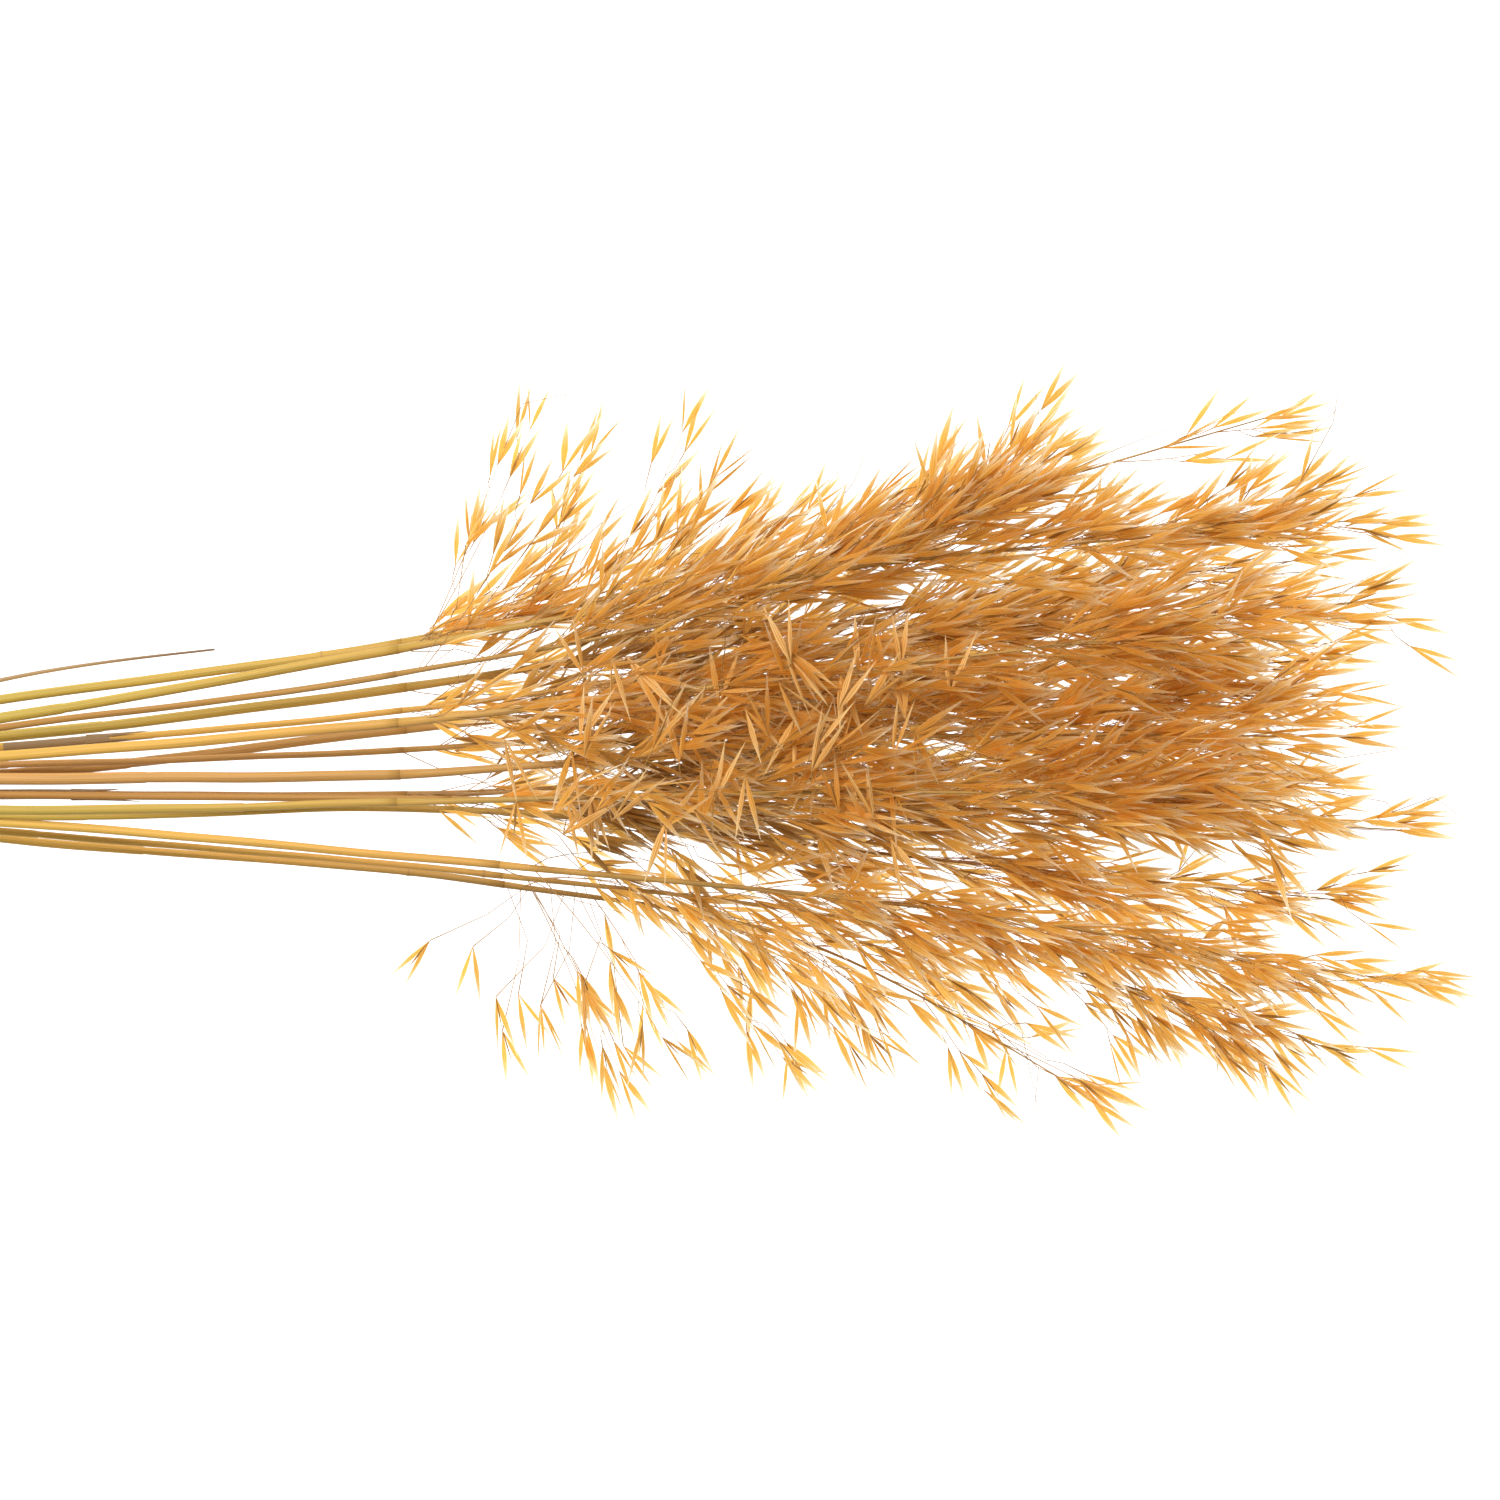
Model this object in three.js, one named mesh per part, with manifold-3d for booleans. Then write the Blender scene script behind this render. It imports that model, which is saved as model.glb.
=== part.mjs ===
// A dried giant feather grass bundle: sixteen culms with their open panicles, tied near the cut ends.
// Millimetres, +Z up. The bundle lies on z = 0, its heads towards +X.
import * as THREE from 'three';
import { mergeVertices } from 'three/addons/utils/BufferGeometryUtils.js';
import Module from 'manifold-3d';

const wasm = await Module();
wasm.setup();

// Stations along the bundle, measured from the middle of the tie
const CUT_END = -87;
const BESIDE_TIE = 14; // the culms run side by side this far each way from the middle of the tie
const FAN = 213; // where the culms have fanned out
const CLEARANCE = 0.3; // between separate pieces

// How the culms are packed in the tie: one in the middle, a ring of 5 against it, and a ring of 10 against
// the tie
const RINGS = [1, 5, 10];
const PACK_RADIUS = 10.5;
const CUT_END_SPLAY = 1.25; // how much wider the pack is at the cut ends

// The tie: turns of flat raffia with a knot on top. Radius of a strand, half width of its flat outer side,
// size of the knot, and the line of a tail from the knot (along, across, up)
const TIE = {
  turns: 3, strand: 1.2, flat: 0.8, sides: 16, knot: [4.6, 3.2, 2.4], knotSides: [6, 4],
  tail: [[0, 0.8, 0.6], [13, 4, 1.2], [26, 7, -0.4]], colour: '#c9a76b',
};

// Culms: how they taper, the swelling at a joint and the thickness of a leaf sheath
const CULM_SIDES = 5;
const NECK_SHARE = 0.75; // radius where the panicle begins, as a share of that at the tie
const JOINT_SWELLING = 0.55;
const JOINT_HALF_LENGTH = 3.5;
const SHEATH_THICKNESS = 0.5;
const SHEATH_EDGE = 1; // length over which the mouth of a sheath ends

// Panicles: the axis, three-sided branches, and glumes as three-sided spindles. A radius is a corner's
const SPRAY_SIDES = 3;
const AXIS_STEPS = 5;
const AXIS_NECK_RADIUS = 1.35;
const AXIS_TIP_RADIUS = 0.7;
const BRANCH_RADIUS = 0.8;
const GLUME_LENGTH = [27, 34];
const GLUME_RADIUS = 1.75; // at the widest place
const GLUME_DEPTH = 0.62; // depth as a share of the width
const GLUME_WIDEST = 0.36; // share of the length where it is widest
const GLUME_SLENDER = 0.62; // share of the length from which it is half as wide or less
const GLUME_OPENING = [8, 17]; // half the angle between the two glumes of a spikelet, in degrees
const ROOT_DEPTH = 0.3; // how far under a flat a root lies
const END_ROOT_DEPTH = 0.7; // how far inside the end of a branch a root lies

// Each culm: its place in the tie (ring, number in the ring), its radius there, where it is at FAN (across,
// up), then where its panicle begins, its middle and its tip (along, across, up), the length of its lowest
// branches, their angle from the axis in degrees, how far to the side they lean, its joint and the mouth of
// its leaf sheath (along), its tone
const CULMS = [
  { place: [2, 0], girth: 2.2, fan: [40.8, 30], path: [[405, 67.7, 48], [578, 107, 56], [849, 184, 46]],
    reach: 100, wide: 64, lean: 0.5, joint: 74, mouth: 112, tone: 'green' },
  { place: [2, 1], girth: 2.3, fan: [31.7, 40], path: [[405, 64.3, 68], [621, 102, 86], [883, 127, 78]],
    reach: 104, wide: 58, lean: 0.4, joint: 134, mouth: 240, tone: 'green' },
  { place: [2, 2], girth: 1.6, fan: [26.9, 48], path: [[405, 51.8, 84], [578, 88, 98], [736, 156, 100]],
    reach: 84, wide: 50, lean: 0.4, joint: 110, mouth: 190, tone: 'brown' },
  { place: [2, 9], girth: 2.4, fan: [23.0, 14], path: [[405, 46.6, 17], [635, 84, 19], [868, 112, 10]],
    reach: 90, wide: 42, lean: 0.2, joint: 96, mouth: 255, tone: 'green' },
  { place: [1, 0], girth: 1.6, fan: [17.8, 28], path: [[405, 34.6, 45], [645, 69, 58], [891, 89, 52]],
    reach: 84, wide: 40, lean: 0.1, joint: 140, mouth: 262, tone: 'gold' },
  { place: [1, 1], girth: 2.4, fan: [13.0, 41], path: [[405, 29.0, 68], [640, 56, 88], [812, 76, 90]],
    reach: 80, wide: 40, lean: 0, joint: 120, mouth: 170, tone: 'gold' },
  { place: [2, 8], girth: 2.3, fan: [4.3, 13], path: [[405, 26.0, 17], [640, 46, 24], [885, 62, 18]],
    reach: 84, wide: 40, lean: 0, joint: 105, mouth: 268, tone: 'tan' },
  { place: [1, 4], girth: 1.6, fan: [8.6, 24], path: [[405, 15.8, 38], [645, 36, 54], [889, 44, 48]],
    reach: 80, wide: 40, lean: 0, joint: 124, mouth: 210, tone: 'tan' },
  { place: [0, 0], girth: 2.5, fan: [1.9, 35], path: [[405, 4.3, 57], [645, 22, 76], [882, 22, 70]],
    reach: 80, wide: 40, lean: 0, joint: 131, mouth: 280, tone: 'tan' },
  { place: [2, 7], girth: 2.0, fan: [-5.8, 12], path: [[405, -6.2, 16], [645, 6, 24], [878, 3, 18]],
    reach: 84, wide: 40, lean: 0, joint: 102, mouth: 252, tone: 'brown' },
  { place: [2, 3], girth: 1.9, fan: [-13.0, 47], path: [[405, -9.1, 78], [640, -4, 94], [848, -9, 86]],
    reach: 80, wide: 40, lean: 0, joint: 150, mouth: 330, tone: 'green' },
  { place: [1, 2], girth: 1.7, fan: [-6.0, 31], path: [[429, -8.0, 50], [669, -12, 60], [912, -24, 50]],
    reach: 84, wide: 40, lean: -0.1, joint: 116, mouth: 205, tone: 'brown' },
  { place: [1, 3], girth: 1.9, fan: [-16.3, 19], path: [[429, -13.0, 30], [669, -38, 34], [886, -60, 26]],
    reach: 88, wide: 42, lean: -0.2, joint: 137, mouth: 248, tone: 'green' },
  { place: [2, 4], girth: 2.0, fan: [-19.2, 41], path: [[453, -39.5, 62], [669, -61, 70], [900, -98, 58]],
    reach: 96, wide: 58, lean: -0.4, joint: 128, mouth: 175, tone: 'gold' },
  { place: [2, 5], girth: 1.6, fan: [-24.5, 27], path: [[453, -45.0, 40], [650, -71, 48], [878, -136, 32]],
    reach: 104, wide: 72, lean: -0.5, joint: 145, mouth: 225, tone: 'gold' },
  { place: [2, 6], girth: 1.8, fan: [-28.3, 13], path: [[453, -50.0, 22], [600, -78, 30], [752, -160, 18]],
    reach: 104, wide: 84, lean: -0.6, joint: 122, mouth: 275, tone: 'gold' },
];
const TONES = {
  green: { stem: '#b3ab4e', head: '#d9a24c' },
  gold: { stem: '#cda04a', head: '#d39a43' },
  tan: { stem: '#bd8a58', head: '#c48a3c' },
  brown: { stem: '#93703a', head: '#b67c35' },
};

// The dry curled leaf: the number of its culm, its radius and how far it stands off it (along, across, up)
const LEAF = {
  culm: 0,
  radius: [1.1, 0.35],
  path: [[108, 0, 0], [160, 5.5, 2], [213, 10.1, 3], [314, 10.2, 3]],
};

// How matt the pieces are
const ROUGHNESS = { stem: 0.55, head: 0.75, tie: 0.8 };

// Panicle rule: the branches leave the three flats of the axis in turn
const SEED_STEP = 1000; // from one culm's draws to the next one's
const BRANCHES = 9;
const LONG_BRANCHES = 1; // the lowest ones carry one more spikelet
const LAST_BRANCH = 0.93; // how far along the axis the last branch leaves it
const BRANCH_RINGS = [[0, 0.5], [0.5, BRANCH_RADIUS], [1, BRANCH_RADIUS]]; // place along a branch, and radius
const TIP_SPREAD = 15; // angle from the axis of the last branches, in degrees
const TIP_REACH = 24; // length of the last branches
const AROUND = 35; // how far a branch turns from the middle of its flat, in degrees
const FLATTENING = 0.75; // a panicle is flatter than it is wide, because the bundle lies on it
const LEAN = 0.45; // how far a branch leans, as a share of its length, where lean is 1
const OUTERMOST_LEAN = 0.3; // the outermost culms lean more than this
const SPREAD_VARIES = [0.75, 1.25]; // share of the usual angle between a branch and its axis
const REACH_VARIES = [0.75, 1.15]; // share of a branch's usual length
const NEAR_RING = [0.12, 0.32]; // share of the way from one ring to the next where something grows
const END_SWAY = [0, 22]; // how far a spikelet points away from its branch, in degrees
const SIDE_SWAY = [18, 38];
const REDRAWS = 40; // tries at a place clear of the other culms
const TIP_SPIKELET = 28; // how far the last spikelet stands past the tip of the axis

// Branches and glumes near the surface bend along it: from BEND_HEIGHT down they level out at LOWEST
const BEND_HEIGHT = 9;
const LOWEST = 3.1;

const SAME_CORNER = 1e-5; // corners closer than this are one

const rad = THREE.MathUtils.degToRad;
const mix = THREE.MathUtils.lerp;
const point = (x, y, z) => new THREE.Vector3(x, y, z);

// A repeatable stream of numbers from 0 to 1
function draws(seed) {
  let state = seed >>> 0;
  return () => {
    state = (state + 0x6d2b79f5) >>> 0;
    let t = Math.imul(state ^ (state >>> 15), state | 1);
    t ^= t + Math.imul(t ^ (t >>> 7), t | 61);
    return ((t ^ (t >>> 14)) >>> 0) / 4294967296;
  };
}

// A smooth line through stations (along, across, up): a function that gives the point at any distance along
function lineThrough(stations) {
  const last = stations.length - 1;
  const run = (i) => stations[i + 1][0] - stations[i][0];
  const rise = (i, k) => (stations[i + 1][k] - stations[i][k]) / run(i);
  const slope = (i, k) => {
    if (i === 0) return rise(0, k);
    if (i === last) return rise(last - 1, k);
    return (rise(i - 1, k) * run(i) + rise(i, k) * run(i - 1)) / (run(i - 1) + run(i));
  };
  return (x) => {
    let i = 0;
    while (i < last - 1 && x > stations[i + 1][0]) i++;
    const h = run(i);
    const s = (x - stations[i][0]) / h;
    const value = (k) => stations[i][k] * (1 + 2 * s) * (1 - s) ** 2
      + stations[i + 1][k] * s * s * (3 - 2 * s)
      + h * s * (1 - s) * (slope(i, k) * (1 - s) - slope(i + 1, k) * s);
    return point(x, value(1), value(2));
  };
}

// Raises a point that is near or under the surface that the bundle lies on
function raise(p) {
  const room = BEND_HEIGHT - LOWEST;
  if (p.z < BEND_HEIGHT) p.z = LOWEST + room * Math.exp((p.z - BEND_HEIGHT) / room);
  return p;
}

// A closed geometry as a solid
function solid(geometry) {
  geometry.deleteAttribute('normal');
  geometry.deleteAttribute('uv');
  const merged = mergeVertices(geometry, SAME_CORNER);
  const corners = merged.index.array;
  const triVerts = [];
  for (let i = 0; i < corners.length; i += 3) {
    const [a, b, c] = corners.slice(i, i + 3);
    if (a !== b && b !== c && c !== a) triVerts.push(a, b, c);
  }
  return new wasm.Manifold(new wasm.Mesh({
    numProp: 3,
    vertProperties: Float32Array.from(merged.attributes.position.array),
    triVerts: Uint32Array.from(triVerts),
  }));
}

// A named mesh of geometries that grew together
function grownTogether(name, colour, roughness, geometries) {
  const mesh = wasm.Manifold.union(geometries.map(solid)).getMesh();
  const geometry = new THREE.BufferGeometry();
  geometry.setAttribute('position', new THREE.BufferAttribute(mesh.vertProperties, 3));
  geometry.setIndex(new THREE.BufferAttribute(mesh.triVerts, 1));
  const material = new THREE.MeshStandardMaterial({ color: colour, roughness, metalness: 0 });
  const piece = new THREE.Mesh(geometry, material);
  piece.name = name;
  return piece;
}

// The frame of a rod at one of its rings: the way it runs, and two directions square to that
function frameAt(rings, ring, turn) {
  const before = rings[Math.max(ring - 1, 0)].at;
  const after = rings[Math.min(ring + 1, rings.length - 1)].at;
  const along = after.clone().sub(before).normalize();
  const level = point(0, 0, 1).cross(along).normalize().applyAxisAngle(along, turn);
  return { along, level, upright: along.clone().cross(level) };
}

// A rod through rings, each { at, radius }, with flat sides, turned round its own line
function rod(rings, sides, turn = 0) {
  const geometry = new THREE.CylinderGeometry(1, 1, 1, sides, rings.length - 1);
  const position = geometry.attributes.position;
  for (let i = 0; i < position.count; i++) {
    const ring = Math.round((position.getY(i) + 0.5) * (rings.length - 1));
    const { at, radius } = rings[ring];
    const { level, upright } = frameAt(rings, ring, turn);
    const p = at.clone().addScaledVector(level, position.getZ(i) * radius)
      .addScaledVector(upright, position.getX(i) * radius);
    position.setXYZ(i, p.x, p.y, p.z);
  }
  return geometry;
}

// A seat on flat 0, 1 or 2 of a three-sided rod, a share of the way from one ring to the next: the root
// there, just under the flat, the way the flat faces and the way the rod runs
function seatOn(rings, ring, share, flat, turn = 0) {
  const { level, upright } = frameAt(rings, ring, turn);
  const angle = (1 + 2 * flat) * Math.PI / SPRAY_SIDES;
  const faces = level.multiplyScalar(Math.cos(angle)).addScaledVector(upright, Math.sin(angle));
  const flatDistance = mix(rings[ring].radius, rings[ring + 1].radius, share) / 2;
  const root = rings[ring].at.clone().lerp(rings[ring + 1].at, share)
    .addScaledVector(faces, flatDistance - Math.min(ROOT_DEPTH, flatDistance));
  return { root, faces, along: rings[ring + 1].at.clone().sub(rings[ring].at).normalize() };
}

// A direction that leans by an angle in degrees from one direction to another square to it
function leaning(from, to, angle) {
  return from.clone().multiplyScalar(Math.cos(rad(angle))).addScaledVector(to, Math.sin(rad(angle)));
}

// A glume: a three-sided spindle from its root, with its keel on the side that outward points to
function glume({ root, direction, outward, length }) {
  const profile = [[0, 0], [GLUME_RADIUS, GLUME_WIDEST * length], [0, length]];
  const geometry = new THREE.LatheGeometry(profile.map(([r, y]) => new THREE.Vector2(r, y)), SPRAY_SIDES);
  geometry.scale(1, 1, GLUME_DEPTH);
  const across = direction.clone().cross(outward).normalize();
  const keel = across.clone().cross(direction);
  return geometry.applyMatrix4(new THREE.Matrix4().makeBasis(across, direction, keel).setPosition(root));
}

// One spikelet: two glumes that open from one root, to both sides of direction
function drawSpikelet(root, direction, across, draw) {
  const opening = mix(...GLUME_OPENING, draw());
  const outward = across.clone().addScaledVector(direction, -across.dot(direction)).normalize();
  return [1, -1].map((way) => {
    const length = mix(...GLUME_LENGTH, draw());
    const tip = leaning(direction, outward, way * opening).multiplyScalar(length).add(root);
    const aim = raise(tip).sub(root).normalize();
    return { root, direction: aim, outward: outward.clone().multiplyScalar(way), length };
  });
}

// The spikelet at the end of a rod: its glumes leave through the rod's end face
function endSpikelet(rings, draw) {
  const { along, level, upright } = frameAt(rings, rings.length - 1, 2 * Math.PI * draw());
  const direction = leaning(along, level, mix(...END_SWAY, draw()));
  const root = rings[rings.length - 1].at.clone().addScaledVector(along, -END_ROOT_DEPTH);
  return drawSpikelet(root, direction, upright.applyAxisAngle(along, 2 * Math.PI * draw()), draw);
}

// A spikelet on the side of a branch: it leans away from one flat and opens across it
function sideSpikelet(rings, ring, draw) {
  const seat = seatOn(rings, ring, mix(...NEAR_RING, draw()), Math.floor(SPRAY_SIDES * draw()));
  const direction = leaning(seat.along, seat.faces, mix(...SIDE_SWAY, draw()));
  return drawSpikelet(seat.root, direction, seat.along.clone().cross(seat.faces), draw);
}

// Turns a panicle's axis so that its flat 0 faces the side that the branches lean to
const axisTurn = (culm) => rad(culm.lean < 0 ? 120 : -60);

// The flat that a branch leaves: on the outermost culms the two lowest branches share the outer one
const flatOf = (culm, number) => (
  Math.abs(culm.lean) > OUTERMOST_LEAN && number === 1 ? 0 : number % SPRAY_SIDES);

// One branch of a panicle: its rings and its spikelets
function drawBranch(culm, axis, number, draw) {
  const step = Math.floor((number / BRANCHES) * AXIS_STEPS);
  const nearRing = mix(...NEAR_RING, draw());
  const share = draw() < 0.5 ? nearRing : 1 - nearRing;
  const seat = seatOn(axis, step, share, flatOf(culm, number), axisTurn(culm));
  const u = LAST_BRANCH * (step + share) / AXIS_STEPS;
  const outward = leaning(seat.faces, seat.along.clone().cross(seat.faces), AROUND * (2 * draw() - 1));
  const spread = mix(culm.wide, TIP_SPREAD, Math.sqrt(u)) * mix(...SPREAD_VARIES, draw());
  const length = mix(culm.reach, TIP_REACH, u) * mix(...REACH_VARIES, draw());
  const reach = leaning(seat.along, outward, spread).multiplyScalar(length);
  const half = seat.root.clone().addScaledVector(reach, 0.5);
  const far = seat.root.clone().add(reach);
  far.y += culm.lean * LEAN * (1 - u) * length;
  for (const p of [half, far]) {
    p.z = mix(seat.root.z, p.z, FLATTENING);
    raise(p);
  }
  const line = new THREE.QuadraticBezierCurve3(seat.root, half, far);
  const rings = BRANCH_RINGS.map(([t, radius]) => ({ at: line.getPoint(t), radius }));
  const sides = number < LONG_BRANCHES ? [1, 0] : [1];
  const end = endSpikelet(rings, draw);
  return { rings, spikelets: [end, ...sides.map((ring) => sideSpikelet(rings, ring, draw))] };
}

// A rod as rounded segments
function rodSegments(rings) {
  return rings.slice(1).map(({ at, radius }, i) => (
    { from: rings[i].at, to: at, radius: Math.max(radius, rings[i].radius) }));
}

// A branch and its glumes as rounded segments
function branchSegments({ rings, spikelets }) {
  const segments = rodSegments(rings);
  for (const { root, direction, length } of spikelets.flat()) {
    const waist = root.clone().addScaledVector(direction, GLUME_SLENDER * length);
    const tip = root.clone().addScaledVector(direction, length);
    segments.push({ from: root, to: waist, radius: GLUME_RADIUS });
    segments.push({ from: waist, to: tip, radius: GLUME_RADIUS / 2 });
  }
  return segments;
}

// The space between two rounded segments, at their nearest
function gap(p, q) {
  const d1 = p.to.clone().sub(p.from);
  const d2 = q.to.clone().sub(q.from);
  const r = p.from.clone().sub(q.from);
  const [a, e, b, c, f] = [d1.dot(d1), d2.dot(d2), d1.dot(d2), d1.dot(r), d2.dot(r)];
  const spread = a * e - b * b;
  const clamp = THREE.MathUtils.clamp;
  const first = spread > 1e-9 ? clamp((b * f - c * e) / spread, 0, 1) : 0;
  const t = clamp((b * first + f) / e, 0, 1);
  const s = clamp((b * t - c) / a, 0, 1);
  const apart = p.from.clone().addScaledVector(d1, s).distanceTo(q.from.clone().addScaledVector(d2, t));
  return apart - p.radius - q.radius;
}

// The tie lies round the pack of culms, and stands on one of its own flat sides
const FLAT_SHARE = Math.cos(Math.PI / TIE.sides);
const TIE_BORE = (PACK_RADIUS + CLEARANCE) / FLAT_SHARE;
const TIE_HEIGHT = (TIE_BORE + 2 * TIE.strand) * FLAT_SHARE;

// Which way a culm stands from the middle of the pack. One of its corners points that way
const wayInPack = ({ place: [ring, number] }) => (number / RINGS[ring]) * 2 * Math.PI;

// How far it stands from the middle: the inner ring has its flats against the middle culm's corners, and the
// outer ring lies against the tie
function placeInPack({ place: [ring], girth }) {
  if (ring === 0) return 0;
  const middleCulm = CULMS.find((culm) => culm.place[0] === 0);
  if (ring === 1) return middleCulm.girth + CLEARANCE + girth * Math.cos(Math.PI / CULM_SIDES);
  return PACK_RADIUS - girth;
}

// The line of a whole culm, from its cut end to the tip of its panicle
function culmLine(culm) {
  const { fan, path } = culm;
  const across = placeInPack(culm) * Math.cos(wayInPack(culm));
  const up = placeInPack(culm) * Math.sin(wayInPack(culm));
  const inTie = [BESIDE_TIE, across, TIE_HEIGHT + up];
  const packed = lineThrough([
    [CUT_END, across * CUT_END_SPLAY, TIE_HEIGHT + up * CUT_END_SPLAY],
    [-BESIDE_TIE, across, TIE_HEIGHT + up],
    inTie,
  ]);
  const fanned = lineThrough([inTie, [FAN, ...fan], ...path]);
  return (x) => (x < BESIDE_TIE ? packed(x) : fanned(x));
}

// The rings of a stem: plain stations, and more at its joint and at the mouth of its leaf sheath
function stemRings(culm, line) {
  const { joint, mouth, girth } = culm;
  const neck = culm.path[0][0];
  const stations = [
    [CUT_END, 0], [-BESIDE_TIE, 0], [BESIDE_TIE, 0], [FAN, joint < FAN && FAN < mouth ? SHEATH_THICKNESS : 0],
    [(FAN + neck) / 2, 0], [neck, 0], [joint - JOINT_HALF_LENGTH, 0], [joint, JOINT_SWELLING],
    [joint + JOINT_HALF_LENGTH, SHEATH_THICKNESS], [mouth, SHEATH_THICKNESS], [mouth + SHEATH_EDGE, 0],
  ].sort((a, b) => a[0] - b[0]);
  return stations.map(([x, extra]) => (
    { at: line(x), radius: girth * mix(1, NECK_SHARE, Math.max(x, 0) / neck) + extra }));
}

// The rings of a panicle's axis, from just past the stem to its tip
function axisRings({ path }, line) {
  const [neck, tip] = [path[0][0] + CLEARANCE, path[path.length - 1][0] - TIP_SPIKELET];
  return Array.from({ length: AXIS_STEPS + 1 }, (_, i) => {
    const share = i / AXIS_STEPS;
    return { at: line(mix(neck, tip, share)), radius: mix(AXIS_NECK_RADIUS, AXIS_TIP_RADIUS, share) };
  });
}

// The dry leaf, from the mouth of its sheath to its curled tip
function leafRings(line) {
  const offset = lineThrough(LEAF.path);
  return LEAF.path.map(([x], i) => {
    const { y, z } = offset(x);
    const radius = mix(...LEAF.radius, i / (LEAF.path.length - 1));
    return { at: line(x).add(point(0, y, z)), radius };
  });
}

// The tie: a ring with a flat band for each turn of raffia, a knot on top and two tails along the culms
function tieGeometries() {
  const { turns, strand, flat, sides, knot, knotSides, tail } = TIE;
  const width = 2 * strand * turns;
  const outer = TIE_BORE + 2 * strand;
  const outline = [[TIE_BORE, -width / 2]];
  for (let turn = 0; turn < turns; turn++) {
    const middle = -width / 2 + strand * (2 * turn + 1);
    outline.push([TIE_BORE + strand, middle - strand], [outer, middle - flat], [outer, middle + flat]);
  }
  outline.push([TIE_BORE + strand, width / 2], [TIE_BORE, width / 2], outline[0]);
  const band = new THREE.LatheGeometry(outline.map(([r, x]) => new THREE.Vector2(r, x)), sides);
  band.rotateY(Math.PI / sides).rotateZ(-Math.PI / 2);
  band.translate(0, 0, TIE_HEIGHT);
  const top = 2 * TIE_HEIGHT;
  const lump = new THREE.SphereGeometry(1, ...knotSides).scale(...knot).translate(0, 0, top);
  const tails = [-1, 1].map((way) => rod(
    tail.map(([x, y, z]) => ({ at: point(x, way * y, top + z), radius: strand })), SPRAY_SIDES));
  return [band, lump, ...tails];
}

// Grows the panicle of one culm clear of all that stands already, and notes what it fills. The first half of
// the tries at each branch also keep it clear of the panicle's other branches
function growPanicle(culm, number, axis, filled) {
  const seed = SEED_STEP * (number + 1);
  const end = endSpikelet(axis, draws(seed + BRANCHES));
  const geometries = [rod(axis, SPRAY_SIDES, axisTurn(culm)), ...end.map(glume)];
  const others = filled.filter((_, i) => i !== number).flat();
  const own = [];
  for (let b = 0; b < BRANCHES; b++) {
    const draw = draws(seed + b);
    for (let tries = 0; tries < REDRAWS; tries++) {
      const branch = drawBranch(culm, axis, b, draw);
      const segments = branchSegments(branch);
      const clear = segments.every((p) => others.every((q) => gap(p, q) > CLEARANCE))
        && (tries > REDRAWS / 2 || segments.every((p) => own.every((q) => gap(p, q) > 0)));
      if (!clear) continue;
      own.push(...segments);
      geometries.push(rod(branch.rings, SPRAY_SIDES), ...branch.spikelets.flat().map(glume));
      break;
    }
  }
  filled[number].push(...own);
  return geometries;
}

const bundle = new THREE.Group();
const lines = CULMS.map(culmLine);
const stems = CULMS.map((culm, i) => stemRings(culm, lines[i]));
const axes = CULMS.map((culm, i) => axisRings(culm, lines[i]));
const leaf = leafRings(lines[LEAF.culm]);
const filled = CULMS.map((_, i) => [...rodSegments(stems[i]), ...rodSegments(axes[i])]);
filled[LEAF.culm].push(...rodSegments(leaf));

CULMS.forEach((culm, i) => {
  const number = String(i + 1).padStart(2, '0');
  const { stem, head } = TONES[culm.tone];
  const leaves = i === LEAF.culm ? [rod(leaf, SPRAY_SIDES)] : [];
  const grown = [rod(stems[i], CULM_SIDES, wayInPack(culm)), ...leaves];
  bundle.add(grownTogether(`stem_${number}`, stem, ROUGHNESS.stem, grown));
  bundle.add(grownTogether(`panicle_${number}`, head, ROUGHNESS.head, growPanicle(culm, i, axes[i], filled)));
});
bundle.add(grownTogether('tie', TIE.colour, ROUGHNESS.tie, tieGeometries()));

// The origin is under the middle of the bundle, on the surface that it lies on
const box = new THREE.Box3().setFromObject(bundle);
const middle = box.getCenter(point(0, 0, 0));
bundle.position.set(-middle.x, -middle.y, -box.min.z);

export default bundle;
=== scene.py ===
"""A dried giant feather grass bundle on a pale, evenly lit table."""

import math
from typing import NamedTuple

import bmesh
import bpy
import numpy as np
from bpy.props import FloatProperty, FloatVectorProperty, IntProperty, PointerProperty
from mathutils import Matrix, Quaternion, Vector, noise


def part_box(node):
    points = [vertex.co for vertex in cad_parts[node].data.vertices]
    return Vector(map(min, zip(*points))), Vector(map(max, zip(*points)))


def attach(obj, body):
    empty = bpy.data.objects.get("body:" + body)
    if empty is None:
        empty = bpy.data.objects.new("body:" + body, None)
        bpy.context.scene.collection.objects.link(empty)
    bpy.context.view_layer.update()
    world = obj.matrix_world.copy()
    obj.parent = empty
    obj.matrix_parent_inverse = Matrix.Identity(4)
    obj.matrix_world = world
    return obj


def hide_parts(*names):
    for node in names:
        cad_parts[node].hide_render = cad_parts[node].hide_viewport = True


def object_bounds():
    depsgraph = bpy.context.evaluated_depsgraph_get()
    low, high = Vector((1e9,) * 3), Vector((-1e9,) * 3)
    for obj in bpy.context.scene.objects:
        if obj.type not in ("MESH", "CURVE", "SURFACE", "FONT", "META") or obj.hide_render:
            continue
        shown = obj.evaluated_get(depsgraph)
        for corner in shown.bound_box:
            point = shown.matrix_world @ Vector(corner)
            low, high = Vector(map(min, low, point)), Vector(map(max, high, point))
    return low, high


bl_info = {
    "name": "Dried giant feather grass bundle",
    "version": (1, 0, 0),
    "blender": (4, 5, 0),
    "location": "3D View > Sidebar > Feather grass",
    "description": "Dresses the solids of a tied grass bundle with fine stems, branches and papery glumes",
    "category": "Object",
}

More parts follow.
